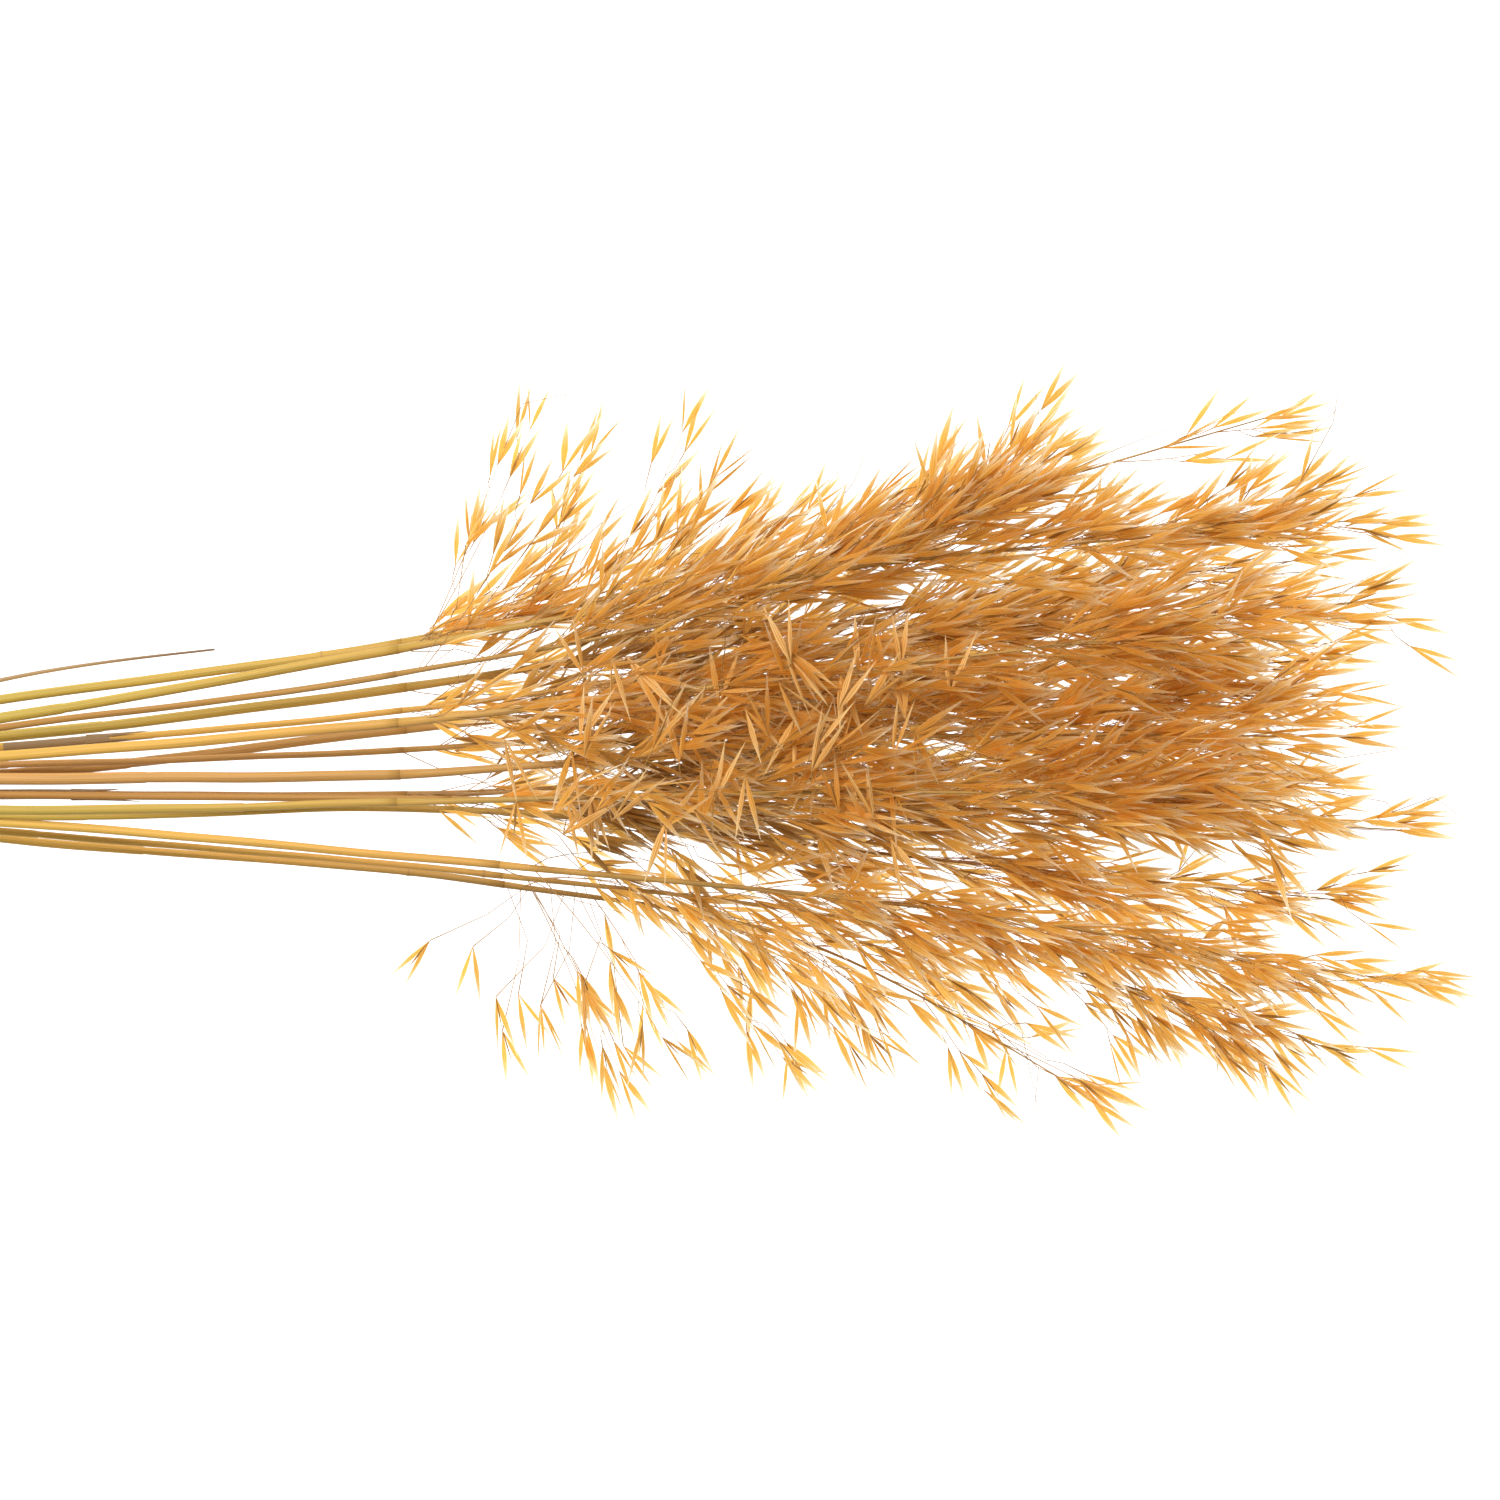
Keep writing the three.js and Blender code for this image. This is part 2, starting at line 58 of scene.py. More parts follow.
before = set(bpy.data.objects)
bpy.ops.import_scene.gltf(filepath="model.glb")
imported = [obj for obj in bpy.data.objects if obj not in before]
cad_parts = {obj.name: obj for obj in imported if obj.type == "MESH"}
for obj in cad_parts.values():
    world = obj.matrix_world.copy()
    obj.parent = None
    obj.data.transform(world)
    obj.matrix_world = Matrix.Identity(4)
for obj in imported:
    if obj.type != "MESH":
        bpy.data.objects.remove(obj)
SOLID_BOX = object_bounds()

# Lengths in the growing rules are millimetres, measured from the middle of the tie: x along the bundle,
# y across it, z up from the surface that it lies on
MM = 0.001
CUT_END = -87.0
BESIDE_TIE = 14.0  # the culms run side by side this far each way from the middle of the tie
FAN = 213.0  # where the culms have fanned out
CLEARANCE = 0.3  # between separate solids
RINGS = [1, 5, 10]  # culms in the middle of the tie, round that, and against the tie
PACK_RADIUS = 10.5
CUT_END_SPLAY = 1.25  # how much wider the pack is at the cut ends
TIE_STRAND = 1.2
TIE_SIDES = 16
KNOT_HALF_LENGTH = 4.6

CULM_SIDES = 5
NECK_SHARE = 0.75  # radius where the panicle begins, as a share of that at the tie
JOINT_SWELLING = 0.55
JOINT_HALF_LENGTH = 3.5
SHEATH_THICKNESS = 0.5
SHEATH_EDGE = 1.0

# A panicle's solid: its axis, its branches and its glumes. A pair is the least and the most of a value
AXIS_STEPS = 5
AXIS_NECK_RADIUS = 1.35
AXIS_TIP_RADIUS = 0.7
BRANCH_RADIUS = 0.8
GLUME_LENGTH = (27, 34)
GLUME_RADIUS = 1.75
GLUME_SLENDER = 0.62  # share of the length from which it is half as wide or less
GLUME_OPENING = (8, 17)  # half the angle between the two glumes of a spikelet, in degrees
ROOT_DEPTH = 0.3  # how far under a flat a root lies
END_ROOT_DEPTH = 0.7  # how far inside the end of a branch a root lies


class Culm(NamedTuple):
    """One culm of the bundle. Places along it are measured from the middle of the tie."""

    place: tuple  # in the tie: ring, and number in the ring
    girth: float  # radius at the tie
    fan: tuple  # where it is at FAN: across, up
    path: tuple  # where its panicle begins, its middle and its tip: along, across, up
    reach: float  # length of its lowest branches
    wide: float  # their angle from the axis, in degrees
    lean: float  # how far they lean to the side
    joint: float  # where its joint is
    mouth: float  # where its leaf sheath ends
    tone: str


CULMS = (
    Culm((2, 0), 2.2, (40.8, 30), ((405, 67.7, 48), (578, 107, 56), (849, 184, 46)),
         100, 64, 0.5, 74, 112, "green"),
    Culm((2, 1), 2.3, (31.7, 40), ((405, 64.3, 68), (621, 102, 86), (883, 127, 78)),
         104, 58, 0.4, 134, 240, "green"),
    Culm((2, 2), 1.6, (26.9, 48), ((405, 51.8, 84), (578, 88, 98), (736, 156, 100)),
         84, 50, 0.4, 110, 190, "brown"),
    Culm((2, 9), 2.4, (23.0, 14), ((405, 46.6, 17), (635, 84, 19), (868, 112, 10)),
         90, 42, 0.2, 96, 255, "green"),
    Culm((1, 0), 1.6, (17.8, 28), ((405, 34.6, 45), (645, 69, 58), (891, 89, 52)),
         84, 40, 0.1, 140, 262, "gold"),
    Culm((1, 1), 2.4, (13.0, 41), ((405, 29.0, 68), (640, 56, 88), (812, 76, 90)),
         80, 40, 0, 120, 170, "gold"),
    Culm((2, 8), 2.3, (4.3, 13), ((405, 26.0, 17), (640, 46, 24), (885, 62, 18)),
         84, 40, 0, 105, 268, "tan"),
    Culm((1, 4), 1.6, (8.6, 24), ((405, 15.8, 38), (645, 36, 54), (889, 44, 48)),
         80, 40, 0, 124, 210, "tan"),
    Culm((0, 0), 2.5, (1.9, 35), ((405, 4.3, 57), (645, 22, 76), (882, 22, 70)),
         80, 40, 0, 131, 280, "tan"),
    Culm((2, 7), 2.0, (-5.8, 12), ((405, -6.2, 16), (645, 6, 24), (878, 3, 18)),
         84, 40, 0, 102, 252, "brown"),
    Culm((2, 3), 1.9, (-13.0, 47), ((405, -9.1, 78), (640, -4, 94), (848, -9, 86)),
         80, 40, 0, 150, 330, "green"),
    Culm((1, 2), 1.7, (-6.0, 31), ((429, -8.0, 50), (669, -12, 60), (912, -24, 50)),
         84, 40, -0.1, 116, 205, "brown"),
    Culm((1, 3), 1.9, (-16.3, 19), ((429, -13.0, 30), (669, -38, 34), (886, -60, 26)),
         88, 42, -0.2, 137, 248, "green"),
    Culm((2, 4), 2.0, (-19.2, 41), ((453, -39.5, 62), (669, -61, 70), (900, -98, 58)),
         96, 58, -0.4, 128, 175, "gold"),
    Culm((2, 5), 1.6, (-24.5, 27), ((453, -45.0, 40), (650, -71, 48), (878, -136, 32)),
         104, 72, -0.5, 145, 225, "gold"),
    Culm((2, 6), 1.8, (-28.3, 13), ((453, -50.0, 22), (600, -78, 30), (752, -160, 18)),
         104, 84, -0.6, 122, 275, "gold"),
)
MIDDLE_GIRTH = next(culm.girth for culm in CULMS if culm.place[0] == 0)
TORN_SHEATHS = {4: 262.0, 9: 252.0}  # culms whose sheath ends in a torn, grey-brown mouth, and where
KNOTS = {0: [366], 14: [444], 15: [406]}  # further small joints along the culms

LEAF_CULM = 0
LEAF_RADIUS = (1.1, 0.35)
LEAF_PATH = ((108, 0, 0), (160, 5.5, 2), (213, 10.1, 3), (314, 10.2, 3))

# The branches that the solids have
BRANCHES = 9
LONG_BRANCHES = 1  # the lowest ones, with a spikelet more
LAST_BRANCH = 0.93  # how far along the axis the last one counts as
BRANCH_RINGS = ((0, 0.5), (0.5, BRANCH_RADIUS), (1, BRANCH_RADIUS))  # place along a branch, and radius
TIP_SPREAD = 15  # angle from the axis at its tip, in degrees
TIP_REACH = 24  # length of a branch there
AROUND = 35  # most turn away from the way that its flat faces, in degrees
FLATTENING = 0.75
LEAN = 0.45
OUTERMOST_LEAN = 0.3  # panicles that lean more than this hang out to the side
SPREAD_VARIES = (0.75, 1.25)
REACH_VARIES = (0.75, 1.15)
NEAR_RING = (0.12, 0.32)  # how far from a ring a root lies, as a share of the way to the next
END_SWAY = (0, 22)
SIDE_SWAY = (18, 38)
REDRAWS = 40
TIP_SPIKELET = 28  # length that is left for the spikelet at the tip
BEND_HEIGHT = 9  # what comes lower than this is bent up, to LOWEST at least
LOWEST = 3.1

# The finer branches of the visual model alone, by the number of their culm where they differ
FINE_FROM = (0.02, 0.2)  # share of the axis where the first leave it, on panicles that don't lean
FINE_TO = 0.88
ENDING = {3: 0.82, 12: 0.84, 13: 0.82, 14: 0.8}  # where the last leave it, on a few panicles
TIP_BRANCHES = 3  # short ones round the last of the axis, on each panicle
TIP_FROM = 0.74
TIP_TO = 0.93
CROWDING = (0.9, 1.0)  # below 1 they crowd towards the tip, above 1 towards the neck; straight and leaning
FINE_WIDE = 0.45  # their angle from the axis at its lower end, as a share of the main branches' angle
FINE_WIDEST = 44  # the most of that angle that counts, but for the panicles that hang
FINE_TIP_WIDE = 13
FINE_TIP_REACH = 52
FINE_SPREAD_VARIES = (0.4, 1.3)
FINE_REACH_VARIES = (0.55, 1.05)
FINE_ARCH = 1.4  # their angle in the first half, as a share of the whole branch's
FINE_TAPER = 0.55  # thickness at their end as a share of that at their root
HANGING_TIP = 0.85  # share of FINE_TIP_WIDE that the panicles that hang have
ONE_SIDED = 0.8  # share of the way round that they take where a panicle leans most
MOST_LEAN = 0.5
# Number of fine branches as a share of the usual one, and how they crowd
FULLNESS = {0: 0.5, 1: 1.3, 2: 0.6, 8: 1.1, 9: 1.1, 10: 0.85, 12: 0.85, 13: 0.85, 14: 0.35, 15: 0.25}
CROWDED = {
    0: 0.9, 1: 0.6, 2: 0.7, 3: 1.1, 4: 1.1, 6: 1.1, 9: 1.1, 11: 1.1, 12: 0.85, 13: 0.7, 14: 0.8, 15: 0.7}
BRANCH_TONE = 0.9

# Tones: 0 is brown, 1 golden, and above that bleached paler, which on the loose spikelets across the top is
# partly painted highlight. The lower end of a panicle has its own where it isn't the usual one: partly the
# panicle's own tone, partly painted shade, brownest on the panicles that lie underneath and palest on those
# on top
USUAL_TONE = 0.68
LOW_END_TONE_AND_SHADE = {3: 0.3, 4: 0.15, 5: 0.9, 6: 0.0, 7: 0.0, 8: 0.75, 9: 0.0, 10: 0.95, 11: 0.1, 12: 0.4}
TIP_TONE = 0.9
SPIKELET_TONES = 0.5  # how far tones differ from spikelet to spikelet
GLUME_TONES = 0.3  # and from glume to glume
LEAST_SPIKELET_TONE = 0.05
LEAST_GLUME_TONE = 0.02

# Glumes of the visual model
FIT = 0.995  # length of a fine glume as a share of the solids'
GLUME_WIDTHS = (0.65, 1.15)
MOST_ROLL = 1.1  # most turn of a glume's broad side from level, in radians
LEAST_HEIGHT = 0.15  # of a glume above the surface
THIRD_BLADES = 0.3  # share of the spikelets with a third, narrow blade
THIRD_LENGTH = 0.62
THIRD_WIDTH = 0.5
THIRD_SWAY = 0.12
THIRD_ROLL = 3
THIRD_TONE = 0.1
AWNED = 0.03  # share of the spikelets that still have an awn
AWN_ROOT = 0.3  # where it comes out, as a share of the glume's length
AWN_LOWER = (0.35, 0.5)  # its length below the knee, as a share of the usual awn
AWN_UPPER = (0.5, 0.8)
AWN_KNEE = (20, 60)
AWN_ROUND = 6.28  # the knee may turn all the way round
AWN_RADII = (1.3, 1, 0.6)  # at its root, knee and tip, as shares of a pedicel's

# Pedicels, which have a knee, and how their spikelets point. Angles in degrees, turns in radians
BARE_SHARE = 0.25  # of a branch, at its root
PEDICEL_REACH = (5, 20)
PEDICEL_LOWER = 0.5
PEDICEL_UPPER = 0.6
PEDICEL_WIDE = (25, 60)
PEDICEL_BEND = (0, 35)
PEDICEL_END = 1.7  # how thick it is under its spikelet, as a share of the rest
PEDICEL_TONES = (0.2, 1.0)
NEAR_SWAY = (0, 14)
FAR_SWAY = (25, 60)
NEAR_SHARE = 0.92  # share of the spikelets that sway little from the way of their branch
FOLLOWING = 0.25  # how far a spikelet follows its pedicel instead of its branch
SWAY_TURN = 2.5
OPENING_TURN = 2.4
LEVEL_OPENING_TURN = 1.2
LAID_FLAT = 0.6  # how steeply spikelets may still point up or down
DROOP = 1.0  # how far spikelets point to the side that a panicle leans to, on those that hang
RISE = 0.55  # and on the others
MAIN_SPIKELETS = 3  # on each main branch besides the solids'
SHORT_SPIKELETS = 2  # on each short branch round the last of the axis

# Spikelets that lie across the top of the bundle at wide angles, for a few culms
LOOSE = {5: 24, 8: 16, 10: 24}
LOOSE_PLACE = (0.14, 0.6)
LOOSE_AWAY = ((-6, 20), (-26, 26), (10, 24))
LOOSE_KNEE = (3, 0, 2)
LOOSE_ANGLE = (35, 110)
LOOSE_RISE = (-0.1, 0.2)
# A bleached, paler tone: partly their own colour, partly painted highlight for the light on the top of the
# bundle
LOOSE_TONE_AND_HIGHLIGHT = 1.3

# Single spikelets on hair-thin stalks that hang out at the neck of a panicle: number, angles, and
# lengths of stalk
STRAY = {
    0: (26, 5, 45, 4, 30), 1: (14, 5, 50, 6, 36), 2: (2, 40, 90, 50, 80), 3: (9, -20, 30, 4, 30),
    4: (9, -30, 30, 4, 36), 5: (9, -30, 30, 4, 36), 7: (9, -30, 30, 4, 36), 9: (9, -35, 20, 4, 30),
    10: (9, -35, 20, 4, 30), 12: (6, -45, 10, 5, 36), 14: (3, -110, -60, 40, 85), 15: (7, -155, -70, 40, 88)}
STRAY_ROOTS = 0.14  # share of the axis that those stalks leave it in
STRAY_HEIGHT = (-14, 4)  # of the spikelet above its root
STRAY_KNEE = (2, 9)  # how far the stalk's middle lies onwards of the straight line
STRAY_KNEE_RISE = (0, 5)  # and above it
STRAY_SWAY = (0.6, 0.95)
STRAY_RISE = (-0.2, 0.1)
STRAY_TONE = 1.0

# Bare, kinked twigs at the neck of a few panicles
TWIGS = {0: 4, 1: 3, 3: 3, 7: 3, 9: 4, 12: 3, 13: 2}
TWIG_KINKS = 6
TWIG_PLACE = (-0.02, 0.04)
TWIG_WIDE = (12, 32)
TWIG_BEND = (-16, 16)
TWIG_TURN = 0.8
TWIG_SPAN = (8, 18)
TWIG_ROOT_RADIUS = 0.3
TWIG_RADII = (0.28, 0.12)
TWIG_TONE = 0.15

# The culms of the visual model, and the axis of a panicle, which goes on from its culm
STALK_SIDES = 12
STALK_STATIONS = 64
STALK_INSET = 0.1  # how much thinner they are than the solids at the tie
STALK_NECK_SHARE = 0.86  # the fine culms' radius where the panicle begins, as a share of that at the tie
STALK_SWELLING = 0.22  # how much thicker they are outside the tie, as a share
FREE_RUN = 60  # length from the tie over which they reach that
STALK_FLAT = 0.86
BEND = 0.6  # how far they stray from their smooth line
BEND_LENGTH = 60
BEND_APART = 3.7
NECK_LAP = 3.5  # length of a panicle's axis inside the end of its culm
NECK_INSET = 0.05
FINE_AXIS_TIP = 0.3
FINE_AXIS_TAPER = 0.6
JOINT_ROOM = 6  # no plain station lies this near to a joint, a knot or the mouth of a sheath
KNOT_ROOM = 5
JOINT_STATIONS = (  # of a joint or knot: place, extra radius and part
    (-4, 0.0, 0.0), (-1.6, 0.1, 0.5), (0, 0.3, 1.0), (1.2, 0.15, 0.9), (3.5, 0.05, 0.0))
MOUTH_STATIONS = ((-2, 0.0, 0.0), (0, -0.05, 0.0), (1.5, -0.12, 0.0))
SHEATH_START = 3  # from the joint
SHEATH_EXTRA = 0.2
TORN_LENGTH = 55  # length of the weathered part of a torn sheath
TORN_EXTRA = 0.2
TORN_STRIPS = 7
TORN_REACH = (14, 34)
TORN_LIFT = (0.2, 1.8)
TORN_ROOT = 12  # how far before the mouth the strips begin
TORN_OFF = 0.3
TORN_WIDTH = (1.0, 0.15)
TORN_FLAT = 0.3
FINE_LEAF_WIDTH = (1.8, 0.6)
FINE_LEAF_FLAT = 0.4
LEAF_SIDES = 6
LEAF_SPANS = 24
LEAF_CURL = (0.5, 9)  # across: how far, and how many radians along the leaf
LEAF_LIFT = (0.4, 11)  # and upwards

# The tie of the visual model: turns of flat raffia (middle, tilt, radius, tone), and a knot with two tails
RAFFIA_TURNS = ((-2.2, 0.25, 11.9, 0.2), (0.05, -0.3, 12.05, 0.6), (2.2, 0.2, 11.85, 0.9))
RAFFIA_WIDTH = 1.25
RAFFIA_THICKNESS = 0.62
RAFFIA_SIDES = 8
RAFFIA_STEPS = 56
MERGE_DISTANCE = 0.0005
RAFFIA_WANDER = 0.22
RAFFIA_SWELLING = 0.012
RAFFIA_FIBRES = 8  # how closely the fibres follow each other round the tie
KNOT_SIZE = (4.2, 2.1, 1.4)
KNOT_APART = 0.8  # each of its two loops from the middle
KNOT_SUNK = 0.4
KNOT_TILT = 0.5
TAIL_LENGTH = 25.6
TAIL_SPREAD = 6
TAIL_WIDTH = (1.15, 0.8)
TAIL_FLAT = 0.4
TAIL_RISE = 0.6
TAIL_ARCH = 2.4
TAIL_SIDES = 8
TAIL_SPANS = 12

HEAD_SEED = 7000
TORN_SEED = 400

# The stage, in metres and watts: a lit table, two soft lights, and a camera that looks straight down
TABLE_HALF_WIDTH = 20
TABLE_GLOW = 1.42
ROOM_LIGHT = 0.12
LIGHTS = (("key", (-0.7, 1.0, 1.9), 1.0, 68), ("fill", (1.3, -1.2, 1.8), 1.6, 10))  # place, size and power
LIT_PLACE = (0.15, 0, 0)
CAMERA_HEIGHT = 2.2
HEADS_HEIGHT = 0.06  # the view is VIEW_WIDTH wide at this height
VIEW_WIDTH = 0.72
VIEW_MIDDLE = (573.0, 15.8, 0)  # millimetres from the middle of the tie
SENSOR_WIDTH = 36

FLAT_SHARE = math.cos(math.pi / TIE_SIDES)
TIE_BORE = (PACK_RADIUS + CLEARANCE) / FLAT_SHARE
TIE_HEIGHT = (TIE_BORE + 2 * TIE_STRAND) * FLAT_SHARE
TIE_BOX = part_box("tie")
SHIFT = Vector((TIE_BOX[0].x / MM + KNOT_HALF_LENGTH, (TIE_BOX[0].y + TIE_BOX[1].y) / 2 / MM, 0))


def mix(a, b, share):
    return a + (b - a) * share


def draws(seed):
    """A repeatable stream of numbers from 0 to 1, the one that the solids were drawn with."""
    state = seed

    def draw():
        nonlocal state
        state = (state + 0x6D2B79F5) & 0xFFFFFFFF
        t = ((state ^ (state >> 15)) * (state | 1)) & 0xFFFFFFFF
        t ^= (t + (t ^ (t >> 7)) * (t | 61)) & 0xFFFFFFFF
        return (t ^ (t >> 14)) / 4294967296

    return draw


def line_through(stations):
    """A smooth line through stations (along, across, up): gives the point at any distance along."""
    last = len(stations) - 1

    def run(i):
        return stations[i + 1][0] - stations[i][0]

    def rise(i, k):
        return (stations[i + 1][k] - stations[i][k]) / run(i)

    def slope(i, k):
        if i == 0:
            return rise(0, k)
        if i == last:
            return rise(last - 1, k)
        return (rise(i - 1, k) * run(i) + rise(i, k) * run(i - 1)) / (run(i - 1) + run(i))

    def at(x):
        i = 0
        while i < last - 1 and x > stations[i + 1][0]:
            i += 1
        h = run(i)
        s = (x - stations[i][0]) / h

        def value(k):
            ends = stations[i][k] * (1 + 2 * s) * (1 - s) ** 2 + stations[i + 1][k] * s * s * (3 - 2 * s)
            return ends + h * s * (1 - s) * (slope(i, k) * (1 - s) - slope(i + 1, k) * s)

        return Vector((x, value(1), value(2)))

    return at


def raised(p):
    """The point, raised where it is near or under the surface that the bundle lies on."""
    room = BEND_HEIGHT - LOWEST
    if p.z < BEND_HEIGHT:
        p.z = LOWEST + room * math.exp((p.z - BEND_HEIGHT) / room)
    return p


def turned(v, axis, angle):
    v = v.copy()
    v.rotate(Quaternion(axis, angle))
    return v


def leaning(start, towards, degrees):
    """A direction that leans from one direction to another square to it."""
    angle = math.radians(degrees)
    return start * math.cos(angle) + towards * math.sin(angle)


def frame_at(rings, ring, turn=0.0):
    """The way a rod runs at one of its rings, and two directions square to that."""
    before = rings[max(ring - 1, 0)][0]
    after = rings[min(ring + 1, len(rings) - 1)][0]
    along = (after - before).normalized()
    level = turned(Vector((0, 0, 1)).cross(along).normalized(), along, turn)
    return along, level, along.cross(level)


def seat_on(rings, ring, share, flat, turn=0.0):
    """A seat on a flat of a three-sided rod: the root there, the way the flat faces, the way the rod runs."""
    _, level, upright = frame_at(rings, ring, turn)
    angle = math.radians(60 + 120 * flat)
    faces = level * math.cos(angle) + upright * math.sin(angle)
    distance = mix(rings[ring][1], rings[ring + 1][1], share) / 2
    root = rings[ring][0].lerp(rings[ring + 1][0], share) + faces * (distance - min(ROOT_DEPTH, distance))
    return root, faces, (rings[ring + 1][0] - rings[ring][0]).normalized()


def draw_spikelet(root, direction, across, draw):
    """Two glumes (root, direction, outward, length) that open from one root, to both sides of direction."""
    opening = mix(*GLUME_OPENING, draw())
    outward = (across - direction * across.dot(direction)).normalized()
    glumes = []
    for way in (1, -1):
        length = mix(*GLUME_LENGTH, draw())
        tip = root + leaning(direction, outward, way * opening) * length
        glumes.append((root, (raised(tip) - root).normalized(), outward * way, length))
    return glumes


def end_spikelet(rings, draw):
    along, level, upright = frame_at(rings, len(rings) - 1, 2 * math.pi * draw())
    direction = leaning(along, level, mix(*END_SWAY, draw()))
    root = rings[-1][0] - along * END_ROOT_DEPTH
    return draw_spikelet(root, direction, turned(upright, along, 2 * math.pi * draw()), draw)


def side_spikelet(rings, ring, draw):
    share = mix(*NEAR_RING, draw())
    root, faces, along = seat_on(rings, ring, share, math.floor(3 * draw()))
    direction = leaning(along, faces, mix(*SIDE_SWAY, draw()))
    return draw_spikelet(root, direction, along.cross(faces), draw)


def axis_turn(lean):
    return math.radians(120 if lean < 0 else -60)


def draw_branch(culm, axis, number, draw):
    """One branch of a panicle: its rings and its spikelets."""
    step = math.floor(number / BRANCHES * AXIS_STEPS)
    near_ring = mix(*NEAR_RING, draw())
    share = near_ring if draw() < 0.5 else 1 - near_ring
    flat = 0 if abs(culm.lean) > OUTERMOST_LEAN and number == 1 else number % 3
    root, faces, along = seat_on(axis, step, share, flat, axis_turn(culm.lean))
    u = LAST_BRANCH * (step + share) / AXIS_STEPS
    outward = leaning(faces, along.cross(faces), AROUND * (2 * draw() - 1))
    spread = mix(culm.wide, TIP_SPREAD, math.sqrt(u)) * mix(*SPREAD_VARIES, draw())
    length = mix(culm.reach, TIP_REACH, u) * mix(*REACH_VARIES, draw())
    reach = leaning(along, outward, spread) * length
    half = root + reach * 0.5
    far = root + reach
    far.y += culm.lean * LEAN * (1 - u) * length
    for p in (half, far):
        p.z = mix(root.z, p.z, FLATTENING)
        raised(p)
    rings = [(bezier(root, half, far, t), radius) for t, radius in BRANCH_RINGS]
    sides = [1, 0] if number < LONG_BRANCHES else [1]
    spikelets = [end_spikelet(rings, draw)] + [side_spikelet(rings, ring, draw) for ring in sides]
    return rings, spikelets, (root, half, far)


def bezier(root, half, far, t):
    return root * (1 - t) ** 2 + half * (2 * t * (1 - t)) + far * t * t


def place_in_pack(culm):
    """How far a culm stands from the middle of the pack in the tie."""
    ring = culm.place[0]
    if ring == 0:
        return 0.0
    if ring == 1:
        return MIDDLE_GIRTH + CLEARANCE + culm.girth * math.cos(math.pi / CULM_SIDES)
    return PACK_RADIUS - culm.girth


def culm_line(culm):
    """The line of a whole culm, from its cut end to the tip of its panicle."""
    ring, number = culm.place
    turn = number / RINGS[ring] * 2 * math.pi
    across, up = place_in_pack(culm) * math.cos(turn), place_in_pack(culm) * math.sin(turn)
    in_tie = (BESIDE_TIE, across, TIE_HEIGHT + up)
    packed = line_through([
        (CUT_END, across * CUT_END_SPLAY, TIE_HEIGHT + up * CUT_END_SPLAY),
        (-BESIDE_TIE, across, TIE_HEIGHT + up),
        in_tie,
    ])
    fanned = line_through([in_tie, (FAN, *culm.fan), *culm.path])
    return lambda x: packed(x) if x < BESIDE_TIE else fanned(x)


def culm_radius(culm, x):
    return culm.girth * mix(1, NECK_SHARE, max(x, 0) / culm.path[0][0])


def free_of_tie(x):
    """How free a culm is of the tie at a place along it, from 0 to 1."""
    return min(max((x - BESIDE_TIE) / FREE_RUN, 0), 1)


def stalk_radius(culm, x):
    """The radius of a culm of the visual model, which is round where the solid has flats."""
    swelling = 1 + STALK_SWELLING * free_of_tie(x)
    return (culm.girth - STALK_INSET) * swelling * mix(1, STALK_NECK_SHARE, max(x, 0) / culm.path[0][0])


def share_along(culm, x):
    """Where a place is on the way from a culm's cut end to the tip of its panicle."""
    return (x - CUT_END) / (culm.path[-1][0] - CUT_END)


def bend_at(number, x):
    """How far a culm of the visual model strays from its smooth line, fading out in the panicle."""
    neck = CULMS[number].path[0][0]
    fading = min(max(1 - (x - neck) / FREE_RUN, 0), 1)
    wave = noise.noise(Vector((number * BEND_APART + x / BEND_LENGTH, 0, 0)))
    return Vector((0, BEND * wave * free_of_tie(x) * fading, 0))


def stem_rings(culm, line):
    """The rings of a stem's solid."""
    joint, mouth = culm.joint, culm.mouth
    neck = culm.path[0][0]
    at_fan = SHEATH_THICKNESS if joint < FAN < mouth else 0
    stations = sorted([
        (CUT_END, 0), (-BESIDE_TIE, 0), (BESIDE_TIE, 0), (FAN, at_fan),
        ((FAN + neck) / 2, 0), (neck, 0), (joint - JOINT_HALF_LENGTH, 0), (joint, JOINT_SWELLING),
        (joint + JOINT_HALF_LENGTH, SHEATH_THICKNESS), (mouth, SHEATH_THICKNESS), (mouth + SHEATH_EDGE, 0),
    ], key=lambda station: station[0])
    return [(line(x), culm_radius(culm, x) + extra) for x, extra in stations]


def axis_rings(culm, line):
    neck, tip = culm.path[0][0] + CLEARANCE, culm.path[-1][0] - TIP_SPIKELET
    steps = [i / AXIS_STEPS for i in range(AXIS_STEPS + 1)]
    return [(line(mix(neck, tip, s)), mix(AXIS_NECK_RADIUS, AXIS_TIP_RADIUS, s)) for s in steps]


def leaf_rings(line):
    last = len(LEAF_PATH) - 1
    return [(line(x) + Vector((0, y, z)), mix(*LEAF_RADIUS, i / last))
            for i, (x, y, z) in enumerate(LEAF_PATH)]


def rod_segments(rings):
    """A rod as rounded segments: from, to, radius."""
    return [(*a[0], *b[0], max(a[1], b[1])) for a, b in zip(rings, rings[1:])]


def branch_segments(rings, spikelets):
    segments = rod_segments(rings)
    for root, direction, _, length in (glume for spikelet in spikelets for glume in spikelet):
        waist = root + direction * (GLUME_SLENDER * length)
        tip = root + direction * length
        segments += [(*root, *waist, GLUME_RADIUS), (*waist, *tip, GLUME_RADIUS / 2)]
    return segments


